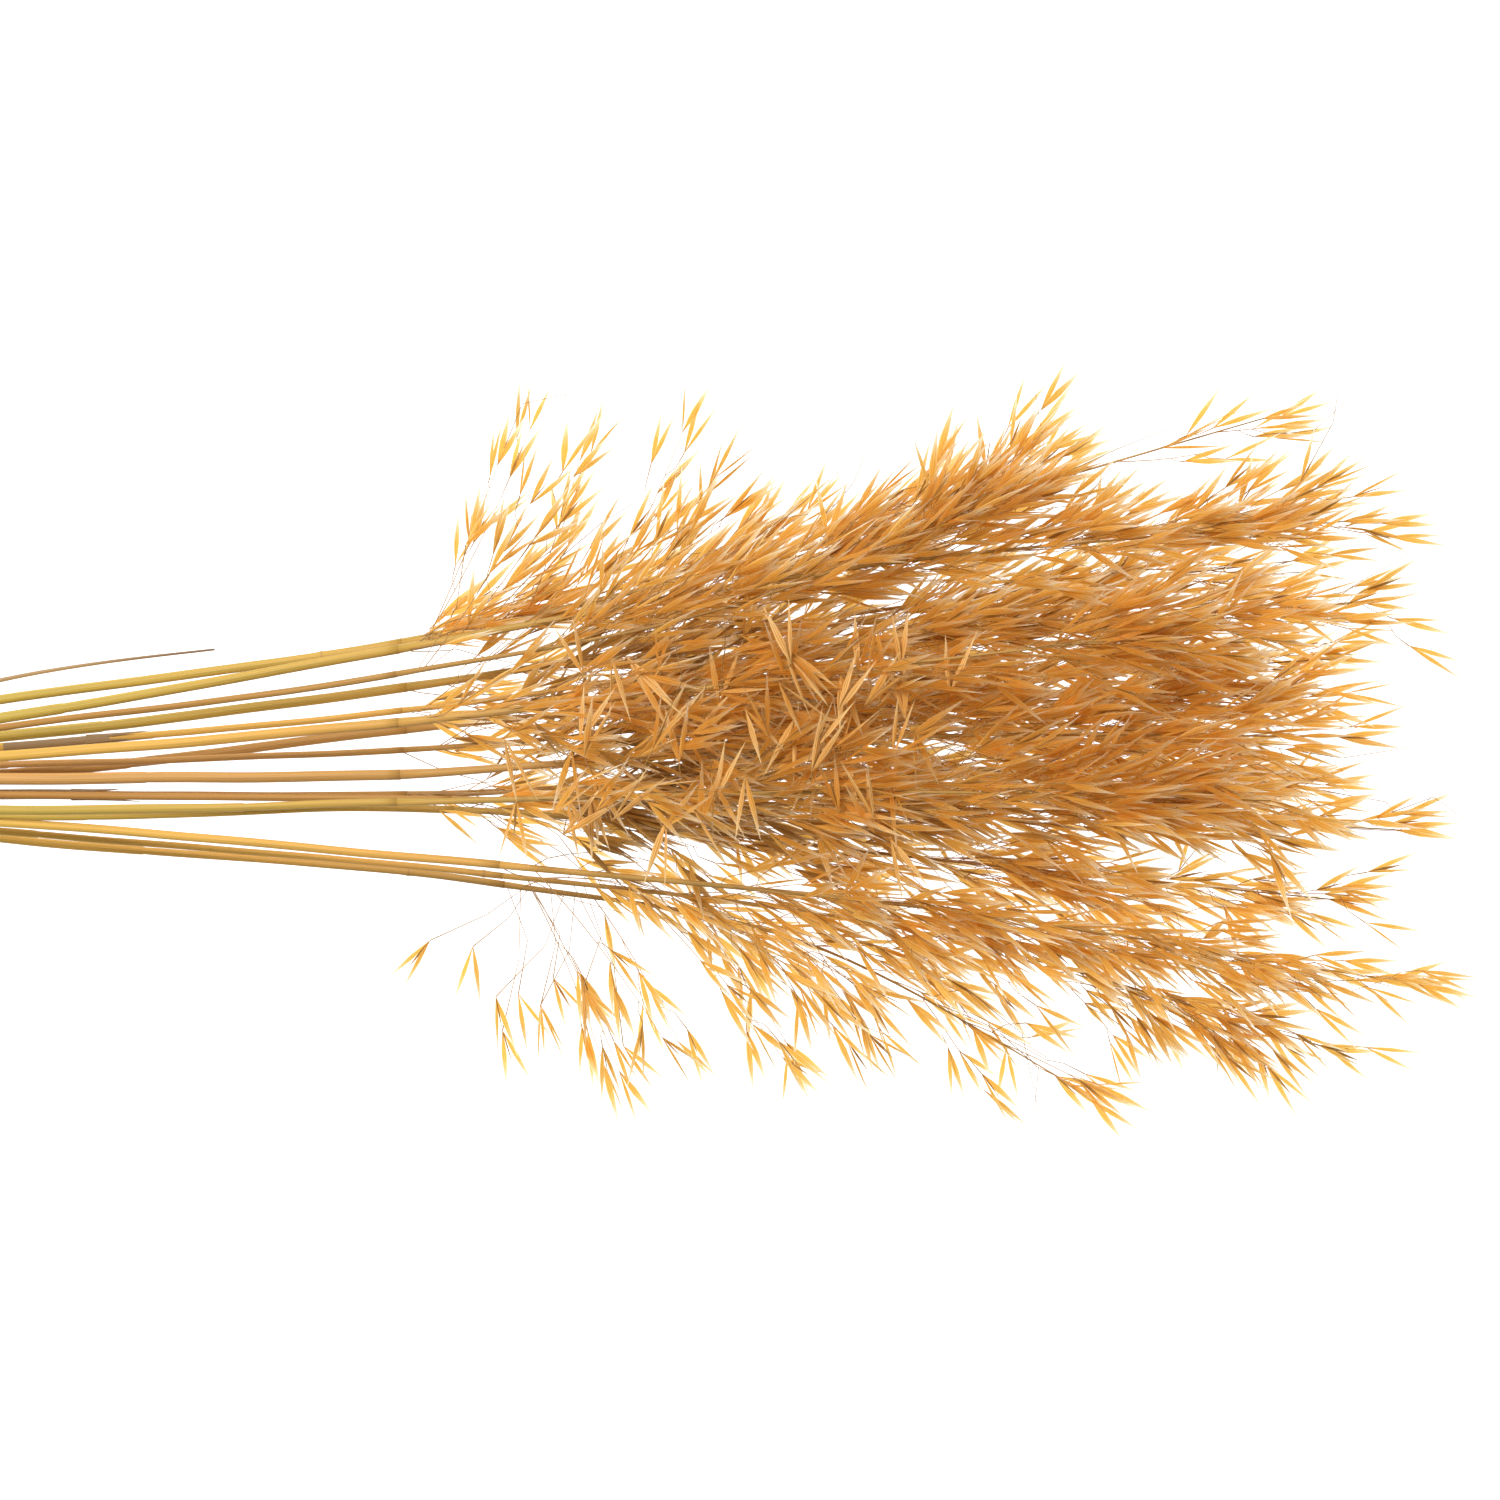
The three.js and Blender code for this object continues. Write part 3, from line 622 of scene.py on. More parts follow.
def least_gap(first, second):
    """The space between two sets of rounded segments, at their nearest."""
    if not first or not second:
        return math.inf
    p = np.array(first, float)[:, None, :]
    q = np.array(second, float)[None, :, :]
    d1, d2, r = p[..., 3:6] - p[..., :3], q[..., 3:6] - q[..., :3], p[..., :3] - q[..., :3]
    a, e, b = (d1 * d1).sum(-1), (d2 * d2).sum(-1), (d1 * d2).sum(-1)
    c, f = (d1 * r).sum(-1), (d2 * r).sum(-1)
    spread = a * e - b * b
    skew = spread > 1e-9
    s = np.where(skew, np.clip((b * f - c * e) / np.where(skew, spread, 1), 0, 1), 0)
    t = np.clip((b * s + f) / e, 0, 1)
    s = np.clip((b * t - c) / a, 0, 1)
    apart = np.linalg.norm(p[..., :3] + d1 * s[..., None] - q[..., :3] - d2 * t[..., None], axis=-1)
    return float((apart - p[..., 6] - q[..., 6]).min())


def grow_main_branches():
    """The branches that the solids have, by the same rule: for each culm its line, axis, tip and branches."""
    lines = [culm_line(culm) for culm in CULMS]
    axes = [axis_rings(culm, line) for culm, line in zip(CULMS, lines)]
    filled = [rod_segments(stem_rings(culm, line)) + rod_segments(axis)
              for culm, line, axis in zip(CULMS, lines, axes)]
    filled[LEAF_CULM] += rod_segments(leaf_rings(lines[LEAF_CULM]))
    grown = []
    for i, culm in enumerate(CULMS):
        others = [segment for j, segments in enumerate(filled) if j != i for segment in segments]
        seed = 1000 * (i + 1)
        own, branches = [], []
        for number in range(BRANCHES):
            draw = draws(seed + number)
            for tries in range(REDRAWS):
                branch = draw_branch(culm, axes[i], number, draw)
                segments = branch_segments(branch[0], branch[1])
                if least_gap(segments, others) <= CLEARANCE:
                    continue
                if tries <= REDRAWS / 2 and least_gap(segments, own) <= 0:
                    continue
                own += segments
                branches.append(branch)
                break
        filled[i] += own
        grown.append((lines[i], axes[i], end_spikelet(axes[i], draws(seed + BRANCHES)), branches))
    return grown


def to_row(p):
    return (p + SHIFT) * MM


def measure(name, description, default, least=0.0001):
    return FloatProperty(name=name, description=description, default=default, min=least, unit="LENGTH")


def colour(name, description, default):
    return FloatVectorProperty(
        name=name, description=description, subtype="COLOR", size=3, min=0, max=1, default=default)


class Sizes(bpy.types.PropertyGroup):
    branch_radius: measure(
        "Branch radius", "Half the thickness of a branch where it leaves the axis", 0.0003)
    pedicel_radius: measure(
        "Pedicel radius", "Half the thickness of the hair-thin stalk of a spikelet", 0.0002)
    glume_half_width: measure(
        "Glume half width", "Half the width of a glume at its widest place", 0.0016, 0.0005)
    awn_length: measure(
        "Awn length", "Length of the few awns that are still on the spikelets", 0.062, 0.02)
    fine_branches: IntProperty(
        name="Fine branches", description="Branches on each panicle besides its main ones",
        default=30, min=0, max=80)
    spikelets: IntProperty(
        name="Spikelets", description="Spikelets along each fine branch",
        default=6, min=1, max=12)


class Colours(bpy.types.PropertyGroup):
    glume_foot: colour(
        "Glume foot", "Colour of a glume's foot and veins, and of the brownest glumes", (0.26, 0.115, 0.025))
    glume_gold: colour(
        "Glume", "Colour of the most golden glumes", (0.82, 0.4, 0.07))
    glume_tip: colour(
        "Glume tip", "Colour of a glume's papery tip and edges", (0.95, 0.7, 0.34))
    glow: colour(
        "Glow", "Colour of light that comes through one wall of a glume", (1.0, 0.77, 0.34))
    tip_glow: colour(
        "Tip glow", "Colour of light that comes through one wall of a glume's tip and edges",
        (1.0, 1.0, 0.94))
    branch: colour(
        "Branches", "Colour of branches and pedicels", (0.56, 0.31, 0.09))
    sheath: colour(
        "Torn sheath", "Colour of the torn, weathered leaf sheaths", (0.3, 0.19, 0.09))
    raffia: colour(
        "Raffia", "Colour of the tie", (0.58, 0.39, 0.16))
    table: colour(
        "Table", "Colour of the lit glass of the light table under the bundle", (0.15, 0.15, 0.15))


# Colours of a culm at its cut end, in the middle and at the panicle
STEM_TONES = {
    "green": ((0.38, 0.35, 0.047), (0.51, 0.38, 0.07), (0.58, 0.34, 0.07)),
    "gold": ((0.58, 0.45, 0.058), (0.74, 0.45, 0.082), (0.7, 0.37, 0.082)),
    "tan": ((0.51, 0.3, 0.094), (0.62, 0.33, 0.105), (0.51, 0.27, 0.07)),
    "brown": ((0.37, 0.21, 0.053), (0.44, 0.21, 0.047), (0.43, 0.22, 0.053)),
}
DARKER = 0.55  # the darker strands of a culm or branch, as a share of its colour
AXIS_DARKER = 0.8  # the axis of a panicle, as a share of its branches' colour
STRIPES_ROUND = 9.0
STRIPES_ALONG = 10.0
JOINT_BROWN = (0.3, 0.15, 0.08)
LEAF_RIBS = 22.0
LEAF_BROWN = (0.36, 0.21, 0.075)
LEAF_TIP_BROWN = (0.17, 0.085, 0.03)
VEIN_WAVES = 4.4  # gives each half of a glume's face a vein


class Socket:
    """A node's output, with arithmetic that adds Math nodes."""

    def __init__(self, tree, link):
        self.tree, self.link = tree, link

    def node(self, kind, settings=None, inputs=None, output=0):
        """Adds a node, with its settings first, then the values or links of its sockets."""
        made = self.tree.nodes.new(kind)
        for name, value in (settings or {}).items():
            if name == "stops":
                ramp = made.color_ramp.elements
                while len(ramp) < len(value):
                    ramp.new(1)
                for element, (position, shade) in zip(ramp, value):
                    element.position = position
                    element.color = (*shade, 1)
            else:
                setattr(made, name, value)
        for name, value in (inputs or {}).items():
            if isinstance(value, Socket):
                self.tree.links.new(value.link, made.inputs[name])
            else:
                made.inputs[name].default_value = value
        return Socket(self.tree, made.outputs[output])

    def maths(self, operation, *others):
        return self.node("ShaderNodeMath", {"operation": operation}, dict(enumerate((self, *others))))

    def __add__(self, other):
        return self.maths("ADD", other)

    __radd__ = __add__

    def __sub__(self, other):
        return self.maths("SUBTRACT", other)

    def __rsub__(self, other):
        return self.maths("MULTIPLY_ADD", -1.0, other)

    def __mul__(self, other):
        return self.maths("MULTIPLY", other)

    __rmul__ = __mul__

    def ranged(self, low, high, to_low=0.0, to_high=1.0):
        """This value's place between low and high, eased, as a value between two others."""
        return self.node("ShaderNodeMapRange", {"interpolation_type": "SMOOTHSTEP"}, {
            "Value": self, "From Min": low, "From Max": high, "To Min": to_low, "To Max": to_high})

    def blended(self, first, second):
        """A colour between two, by this value."""
        return self.node("ShaderNodeMix", {"data_type": "RGBA"}, {0: self, 6: first, 7: second}, output=2)


def new_material(name):
    """An empty material: its tree, the finished surface's socket, and a Socket to start from."""
    material = bpy.data.materials.new(name)
    material.use_nodes = True
    tree = material.node_tree
    tree.nodes.clear()
    out = tree.nodes.new("ShaderNodeOutputMaterial")
    return material, tree, out, Socket(tree, None)


def grain_of(start):
    """The attribute that follows a surface: across it, along it, and the tone of that blade or rod."""
    grain = start.node("ShaderNodeAttribute", {"attribute_name": "grain"}, output=1)
    parts = start.node("ShaderNodeSeparateXYZ", None, {"Vector": grain})
    outputs = parts.link.node.outputs
    return [Socket(start.tree, outputs[i]) for i in range(3)]


def glume_material(colours):
    """Papery glumes: brown at the foot, veined, pale at the edges and the tip, with light coming through."""
    material, tree, out, start = new_material("papery glumes")
    across, along, tone = grain_of(start)
    brown = (*colours.glume_foot, 1)
    gold = (*colours.glume_gold, 1)
    pale = (*colours.glume_tip, 1)
    papery = along.ranged(0.4, 1.0)
    foot_to_tip = along.ranged(0.75, 1.0, 1.0, 0.3)
    # Above a tone of 1 a glume is bleached paler and lets less light through: partly its own colour, partly
    # painted highlight on the loose spikelets across the top
    bleached_and_highlight = tone.ranged(1.0, 1.5, 0.0, 0.4)
    edge = across.maths("ABSOLUTE").ranged(0.6, 1.0)
    beside_veins = (across * VEIN_WAVES).maths("COSINE").maths("ABSOLUTE").ranged(0.0, 0.75)
    vein = (1 - beside_veins) * foot_to_tip
    foot = along.ranged(-0.25, 0.2)
    tint = tone.blended(brown, gold)
    tint = (papery * 0.55 + edge * 0.2 + bleached_and_highlight).blended(tint, pale)
    tint = (vein * 0.85).blended(tint, brown)
    tint = foot.blended(brown, tint)
    paper = start.node("ShaderNodeBsdfPrincipled", None, {
        "Base Color": tint, "Roughness": 0.6, "Specular IOR Level": 0.15})
    light = start.node("ShaderNodeBsdfTranslucent", None, {"Color": (*colours.glow, 1)})
    tip_light = start.node("ShaderNodeBsdfTranslucent", None, {"Color": (*colours.tip_glow, 1)})
    towards_tip = along.ranged(0.35, 1.0) + edge * 0.5
    light = start.node("ShaderNodeMixShader", None, {0: towards_tip, 1: light, 2: tip_light})
    thin = foot * papery.ranged(0.0, 1.0, 0.9, 0.99) * vein.ranged(0.0, 1.0, 1.0, 0.65)
    thin = thin * tone.ranged(0.0, 0.6, 0.36, 1.0) * bleached_and_highlight.ranged(0.0, 0.4, 1.0, 0.45)
    surface = start.node("ShaderNodeMixShader", None, {0: thin, 1: paper, 2: light})
    tree.links.new(surface.link, out.inputs["Surface"])
    return material


def branch_material(colours):
    material, tree, out, start = new_material("hair-thin branches")
    _, along, tone = grain_of(start)
    darker = tuple(c * DARKER for c in colours.branch)
    tint = (tone * 0.8 + along * 0.2).blended((*darker, 1), (*colours.branch, 1))
    wood = start.node("ShaderNodeBsdfPrincipled", None, {"Base Color": tint, "Roughness": 0.6})
    tree.links.new(wood.link, out.inputs["Surface"])
    return material


def stem_material(tone_name, colours):
    """A dry culm: tinted along its length, with fine stripes, darker joints and papery sheaths."""
    material, tree, out, start = new_material("culm " + tone_name)
    low, middle, high = STEM_TONES[tone_name]
    tip = tuple(c * AXIS_DARKER for c in colours.branch)
    across, along, part = grain_of(start)
    tint = start.node("ShaderNodeValToRGB", {
        "stops": [(0.0, low), (0.25, middle), (0.48, high), (0.62, tip)]}, {"Fac": along})
    where = start.node("ShaderNodeCombineXYZ", None, {
        0: across * STRIPES_ROUND, 1: along * STRIPES_ALONG, 2: 0.0})
    stripes = start.node("ShaderNodeTexNoise", None, {"Vector": where, "Scale": 1.0, "Detail": 2.0})
    darker = tuple(c * DARKER for c in middle)
    tint = stripes.ranged(0.42, 0.68, 0.0, 0.75).blended(tint, (*darker, 1))
    joint = part.ranged(0.9, 1.0)
    tint = (joint * 0.5).blended(tint, (*JOINT_BROWN, 1))
    torn = part.ranged(-0.9, -1.0)
    tint = torn.blended(tint, (*colours.sheath, 1))
    bump = start.node("ShaderNodeBump", None, {"Strength": 0.35, "Distance": 0.0003, "Height": stripes})
    straw = start.node("ShaderNodeBsdfPrincipled", None, {
        "Base Color": tint, "Roughness": 0.5, "Specular IOR Level": 0.2, "Normal": bump})
    tree.links.new(straw.link, out.inputs["Surface"])
    return material


def leaf_material(colours):
    """A dry leaf with fine ribs, darker towards its tip."""
    material, tree, out, start = new_material("dry curled leaf")
    across, along, _ = grain_of(start)
    ribs = (across * LEAF_RIBS).maths("SINE").ranged(0.0, 1.0)
    tint = (ribs * 0.4).blended((*LEAF_BROWN, 1), (*colours.sheath, 1))
    tint = along.ranged(0.6, 1.0).blended(tint, (*LEAF_TIP_BROWN, 1))
    leaf = start.node("ShaderNodeBsdfPrincipled", None, {"Base Color": tint, "Roughness": 0.6})
    tree.links.new(leaf.link, out.inputs["Surface"])
    return material


def raffia_material(colours):
    """Raffia with fibres along it, some of them darker."""
    material, tree, out, start = new_material("raffia")
    across, along, tone = grain_of(start)
    where = start.node("ShaderNodeCombineXYZ", None, {0: across * 7.0, 1: along * 3.0, 2: tone * 11.0})
    fibres = start.node("ShaderNodeTexNoise", None, {"Vector": where, "Scale": 1.0, "Detail": 3.0})
    darker = tuple(c * 0.6 for c in colours.raffia)
    tint = fibres.ranged(0.35, 0.7).blended((*colours.raffia, 1), (*darker, 1))
    bump = start.node("ShaderNodeBump", None, {"Strength": 0.5, "Distance": 0.0004, "Height": fibres})
    fibre = start.node("ShaderNodeBsdfPrincipled", None, {
        "Base Color": tint, "Roughness": 0.7, "Normal": bump})
    tree.links.new(fibre.link, out.inputs["Surface"])
    return material


class Pattern:
    """A small shape that is set into a piece many times. Its grain attribute says how its surface runs."""

    def __init__(self, name, shape):
        self.mesh = bpy.data.meshes.new(name)
        shape.to_mesh(self.mesh)
        shape.free()
        count = len(self.mesh.vertices)
        points = np.empty(count * 3, np.float32)
        self.mesh.vertices.foreach_get("co", points)
        self.points = points.reshape(count, 3).astype(float)
        self.grain = np.zeros((count, 3), np.float32)
        self.mesh.attributes.new("grain", "FLOAT_VECTOR", "POINT")

    def set_into(self, piece, points, tone=0.5, material=0):
        """Adds the shape to a bmesh, with its points moved and its tone given."""
        self.mesh.vertices.foreach_set("co", np.ascontiguousarray(points, np.float32).ravel())
        self.grain[:, 2] = tone
        self.mesh.attributes["grain"].data.foreach_set("vector", self.grain.ravel())
        self.mesh.polygons.foreach_set("material_index", [material] * len(self.mesh.polygons))
        piece.from_mesh(self.mesh)


def tube_pattern(name, sides, spans, smooth=False):
    """A closed tube of a few spans along z, from 0 to 1, with a radius of 1."""
    shape = bmesh.new()
    bmesh.ops.create_cone(shape, segments=sides, radius1=1, radius2=1, depth=1, cap_ends=True)
    if spans > 1:
        lengthwise = [e for e in shape.edges if abs(e.verts[0].co.z - e.verts[1].co.z) > 0.5]
        bmesh.ops.subdivide_edges(shape, edges=lengthwise, cuts=spans - 1)
    bmesh.ops.translate(shape, verts=shape.verts, vec=(0, 0, 0.5))
    for face in shape.faces:
        face.smooth = smooth and len(face.verts) == 4
    pattern = Pattern(name, shape)
    pattern.spans = spans
    pattern.ring = np.rint(pattern.points[:, 2] * spans).astype(int)
    pattern.grain[:, 0] = np.arctan2(pattern.points[:, 1], pattern.points[:, 0])
    pattern.grain[:, 1] = pattern.points[:, 2]
    return pattern


def set_rod(piece, pattern, rings, tone=0.5, material=0, tones=None, flat=None):
    """A rod through as many rings as the pattern has. Flat squeezes it along one of its two directions."""
    frames = [frame_at(rings, i) for i in range(len(rings))]
    centres = np.array([tuple(at) for at, _ in rings])
    radii = np.array([radius for _, radius in rings])
    level = np.array([tuple(f[1]) for f in frames])
    upright = np.array([tuple(f[2]) for f in frames])
    ring = pattern.ring
    x = pattern.points[:, 0:1] * radii[ring][:, None]
    y = pattern.points[:, 1:2] * radii[ring][:, None] * (1 if flat is None else flat)
    points = centres[ring] + level[ring] * x + upright[ring] * y
    pattern.set_into(piece, points, tone if tones is None else np.array(tones)[ring], material)


# A glume's outline: place along it, half width and how far its keel stands out, as shares of the greatest
# half width
GLUME_OUTLINE = (
    (0.0, 0.1, 0.1), (0.1, 0.36, 0.3), (0.24, 0.78, 0.46), (0.4, 1.0, 0.5), (0.6, 0.76, 0.38),
    (0.8, 0.36, 0.2), (1.0, 0.0, 0.0))
INNER_DEPTH = 0.45  # of the side away from the keel, as a share of the keel's


def glume_pattern(name, curl, twist):
    """A keeled, boat-shaped blade along y, from 0 to 1, its keel towards z: curl bends its tip outwards."""
    shape = bmesh.new()
    bmesh.ops.create_cone(shape, segments=4, radius1=1, radius2=1, depth=1, cap_ends=True, cap_tris=True)
    lengthwise = [e for e in shape.edges if abs(e.verts[0].co.z - e.verts[1].co.z) > 0.5]
    spans = len(GLUME_OUTLINE) - 2
    bmesh.ops.subdivide_edges(shape, edges=lengthwise, cuts=spans - 1)
    grain = []
    for v in shape.verts:
        ring = round((v.co.z + 0.5) * spans)
        side, out = v.co.x, abs(v.co.y) * (1 if v.co.y > 0 else -INNER_DEPTH)
        if math.hypot(v.co.x, v.co.y) < 0.1:
            side, out = 0.0, 0.0
            ring = ring + 1 if ring == spans else ring
        along, width, keel = GLUME_OUTLINE[ring]
        angle = twist * along
        x, z = side * width, out * keel
        v.co = (x * math.cos(angle) - z * math.sin(angle), along,
                x * math.sin(angle) + z * math.cos(angle) + curl * along * along)
        grain.append((side, along, 0.0))
    bmesh.ops.recalc_face_normals(shape, faces=shape.faces)
    pattern = Pattern(name, shape)
    pattern.grain[:] = grain
    return pattern


def set_glume(piece, pattern, glume, half_width, tone, roll):
    """A glume at its root, as long as it is there, its broad side turned from level by roll."""
    root, direction, _, length = glume
    across = turned(level_of(direction), direction, roll)
    keel = across.cross(direction)
    basis = np.array([
        tuple(across * half_width), tuple(direction * (FIT * length)), tuple(keel * half_width)])
    points = pattern.points @ basis + np.array(tuple(root))
    points[:, 2] += max(0.0, LEAST_HEIGHT - points[:, 2].min())
    pattern.set_into(piece, points, tone)


def finished(name, piece, materials):
    """Makes the piece's object, in the row frame, and lets it ride on the bundle."""
    bmesh.ops.translate(piece, verts=piece.verts, vec=SHIFT)
    bmesh.ops.scale(piece, verts=piece.verts, vec=(MM, MM, MM))
    mesh = bpy.data.meshes.new(name)
    piece.to_mesh(mesh)
    piece.free()
    made = bpy.data.objects.new(name, mesh)
    bpy.context.scene.collection.objects.link(made)
    for material in materials:
        mesh.materials.append(material)
    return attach(made, "root")


def inside_box(p):
    """True for a point that is a millimetre or more inside the solids' box."""
    at = to_row(p)
    return all(low + MM < value < high - MM for low, value, high in zip(SOLID_BOX[0], at, SOLID_BOX[1]))


class Tools:
    """The shapes and sizes that the heads are set together from."""

    def __init__(self, sizes):
        self.pedicel = tube_pattern("pedicel shape", 3, 2)
        self.branch = tube_pattern("branch shape", 3, 6)
        self.axis = tube_pattern("axis shape", 8, 24, smooth=True)
        curls = ((0.0, 0.0), (0.5, 0.3), (-0.5, -0.4), (0.8, 0.5), (0.3, 1.1), (-0.7, 0.2))
        self.glumes = [glume_pattern(f"glume shape {i}", *curl) for i, curl in enumerate(curls)]
        self.half_width = sizes.glume_half_width / MM
        self.pedicel_radius = sizes.pedicel_radius / MM
        self.branch_radius = sizes.branch_radius / MM
        self.awn_length = sizes.awn_length / MM


def is_inside(glumes):
    return all(inside_box(root + direction * length) for root, direction, _, length in glumes)


def set_spikelet(piece, tools, glumes, tone, draw):
    """A spikelet's two glumes, now and then a narrow third blade between them, and rarely an awn."""
    tone = max(tone + SPIKELET_TONES * (draw() - 0.5), LEAST_SPIKELET_TONE)
    clear = is_inside(glumes)
    for glume in glumes:
        pattern = tools.glumes[math.floor(draw() * len(tools.glumes)) if clear else 0]
        width = tools.half_width * mix(*GLUME_WIDTHS, draw())
        roll = mix(-MOST_ROLL, MOST_ROLL, draw()) + (math.pi if draw() < 0.5 else 0)
        own_tone = max(tone + GLUME_TONES * (draw() - 0.5), LEAST_GLUME_TONE)
        set_glume(piece, pattern, glume, width, own_tone, roll)
    root, first, outward, length = glumes[0]
    middle = (first + glumes[1][1]).normalized()
    if draw() < THIRD_BLADES:
        onward = turned(middle, outward, THIRD_SWAY * (draw() - 0.5))
        third = (root, onward, outward.cross(middle), THIRD_LENGTH * length)
        width = THIRD_WIDTH * tools.half_width
        set_glume(piece, tools.glumes[0], third, width, THIRD_TONE, THIRD_ROLL * draw())
    if draw() < AWNED:
        set_awn(piece, tools, root + middle * (AWN_ROOT * length), middle, outward, draw)


def set_awn(piece, tools, root, direction, outward, draw):
    """A thin awn with a knee in it."""
    knee = root + direction * (tools.awn_length * mix(*AWN_LOWER, draw()))
    bent = leaning(direction, turned(outward, direction, AWN_ROUND * draw()), mix(*AWN_KNEE, draw()))
    tip = knee + bent * (tools.awn_length * mix(*AWN_UPPER, draw()))
    raised(knee)
    raised(tip)
    if inside_box(tip) and inside_box(knee):
        radii = [share * tools.pedicel_radius for share in AWN_RADII]
        set_rod(piece, tools.pedicel, list(zip((root, knee, tip), radii)), 0.0, material=1)


def branch_frame(curve, t):
    """The point at a share of a branch, and the way it runs there."""
    at = bezier(*curve, t)
    return at, (bezier(*curve, min(t + 0.02, 1.02)) - at).normalized()


def level_of(along):
    """The level direction square to a way that something runs."""
    return Vector((0, 0, 1)).cross(along).normalized()


def set_stalked_spikelet(piece, tools, way_up, direction, opening, tone, draw):
    """A spikelet on its kinked pedicel, if it is clear of the sides of the solids' box.

    It opens to the sides, but for a turn of half the opening angle at most."""
    opens = turned(level_of(direction), direction, opening * (draw() - 0.5))
    glumes = draw_spikelet(way_up[-1], direction, opens, draw)
    if is_inside(glumes):
        radii = [tools.pedicel_radius] * 2 + [PEDICEL_END * tools.pedicel_radius]
        set_rod(piece, tools.pedicel, list(zip(way_up, radii)), mix(*PEDICEL_TONES, draw()), material=1)
        set_spikelet(piece, tools, glumes, tone, draw)


def set_side_spikelets(piece, tools, curve, count, culm, tone_and_shade_at, draw):
    """Spikelets on kinked pedicels along a branch, pointing to the side that the panicle leans to."""
    aside = culm.lean * (DROOP if culm.lean < 0 else RISE)
    for number in range(count):
        at, along = branch_frame(curve, mix(BARE_SHARE, 1.0, (number + draw()) / count))
        side = turned(level_of(along), along, 2 * math.pi * draw())
        reach = mix(*PEDICEL_REACH, draw())
        knee = raised(at + leaning(along, side, mix(*PEDICEL_WIDE, draw())) * (PEDICEL_LOWER * reach))
        foot = raised(knee + leaning(along, side, mix(*PEDICEL_BEND, draw())) * (PEDICEL_UPPER * reach))
        sway = mix(*(NEAR_SWAY if draw() < NEAR_SHARE else FAR_SWAY), draw())
        onward = along.lerp((foot - at).normalized(), FOLLOWING).normalized()
        direction = leaning(onward, turned(side, along, SWAY_TURN * (draw() - 0.5)), sway)
        direction.z *= LAID_FLAT
        direction = (direction.normalized() + Vector((0, aside * draw(), 0))).normalized()
        way_up = (at, knee, foot)
        set_stalked_spikelet(piece, tools, way_up, direction, OPENING_TURN, tone_and_shade_at(foot.x), draw)


def set_loose_spikelets(piece, tools, line, ends, count, draw):
    """Spikelets that lie across the top of the bundle at wide angles."""
    for _ in range(count):
        at = line(mix(*ends, mix(*LOOSE_PLACE, draw())))
        foot = at + Vector([mix(*span, draw()) for span in LOOSE_AWAY])
        knee = at.lerp(foot, 0.5) + Vector(LOOSE_KNEE)
        turn = math.radians(mix(*LOOSE_ANGLE, draw())) * (1 if draw() < 0.5 else -1)
        direction = Vector((math.cos(turn), math.sin(turn), mix(*LOOSE_RISE, draw()))).normalized()
        way_up = (at, knee, foot)
        set_stalked_spikelet(piece, tools, way_up, direction, LEVEL_OPENING_TURN, LOOSE_TONE_AND_HIGHLIGHT, draw)


def set_stray_spikelets(piece, tools, line, ends, stray, draw):
    """Single spikelets that hang out from the neck of a panicle, each on its own hair-thin stalk."""
    count, first, last, nearest, farthest = stray
    for number in range(count):
        turn = math.radians(mix(first, last, (number + draw()) / count))
        reach = mix(nearest, farthest, draw())
        root = line(mix(*ends, STRAY_ROOTS * draw()))
        away = Vector((math.cos(turn) * reach, math.sin(turn) * reach, mix(*STRAY_HEIGHT, draw())))
        foot = raised(root + away)
        off = Vector((mix(*STRAY_KNEE, draw()), 0, mix(*STRAY_KNEE_RISE, draw())))
        knee = root.lerp(foot, 0.5) + off
        sway = turn * mix(*STRAY_SWAY, draw())
        direction = Vector((math.cos(sway), math.sin(sway), mix(*STRAY_RISE, draw()))).normalized()
        way_up = (root, knee, foot)
        set_stalked_spikelet(piece, tools, way_up, direction, LEVEL_OPENING_TURN, STRAY_TONE, draw)


def fine_branch(culm, line, ends, start, draw):
    """The curve of a branch that runs beside the axis, from anywhere beyond its start."""
    leans = min(abs(culm.lean) / MOST_LEAN, 1)
    crowding = CROWDED.get(CULMS.index(culm), mix(*CROWDING, leans))
    u = mix(mix(start, 0, leans), ENDING.get(CULMS.index(culm), FINE_TO), draw() ** crowding)
    return beside_axis(culm, line, ends, u, mix(1, ONE_SIDED, leans), draw)


def beside_axis(culm, line, ends, u, way_round, draw):
    """The curve of a branch that leaves the axis at a share of its length."""
    x = mix(*ends, u)
    root = line(x)
    along = (line(x + 1) - root).normalized()
    turn = (math.pi if culm.lean < 0 else 0) + way_round * math.pi * (2 * draw() - 1)
    side = turned(level_of(along), along, turn)
    wide = culm.wide if culm.lean < 0 else min(culm.wide, FINE_WIDEST)
    tip_wide = FINE_TIP_WIDE * (HANGING_TIP if culm.lean < -OUTERMOST_LEAN else 1)
    spread = mix(FINE_WIDE * wide, tip_wide, math.sqrt(u)) * mix(*FINE_SPREAD_VARIES, draw())
    length = mix(culm.reach, FINE_TIP_REACH, u) * mix(*FINE_REACH_VARIES, draw())
    half = root + leaning(along, side, FINE_ARCH * spread) * (0.5 * length)
    far = root + leaning(along, side, spread) * length
    far.y += culm.lean * LEAN * (1 - u) * length
    for p in (half, far):
        p.z = mix(root.z, p.z, FLATTENING)
        raised(p)
    return root, half, far


def set_branch(piece, tools, curve):
    shares = [i / tools.branch.spans for i in range(tools.branch.spans + 1)]
    rings = [(bezier(*curve, t), tools.branch_radius * mix(1, FINE_TAPER, t)) for t in shares]
    set_rod(piece, tools.branch, rings, BRANCH_TONE, material=1)


def set_full_branch(piece, tools, curve, count, culm, tone_and_shade_at, draw):
    """A branch with its spikelets, if its end is clear of the sides of the solids' box."""
    if inside_box(curve[2]):
        set_branch(piece, tools, curve)
        set_side_spikelets(piece, tools, curve, count, culm, tone_and_shade_at, draw)


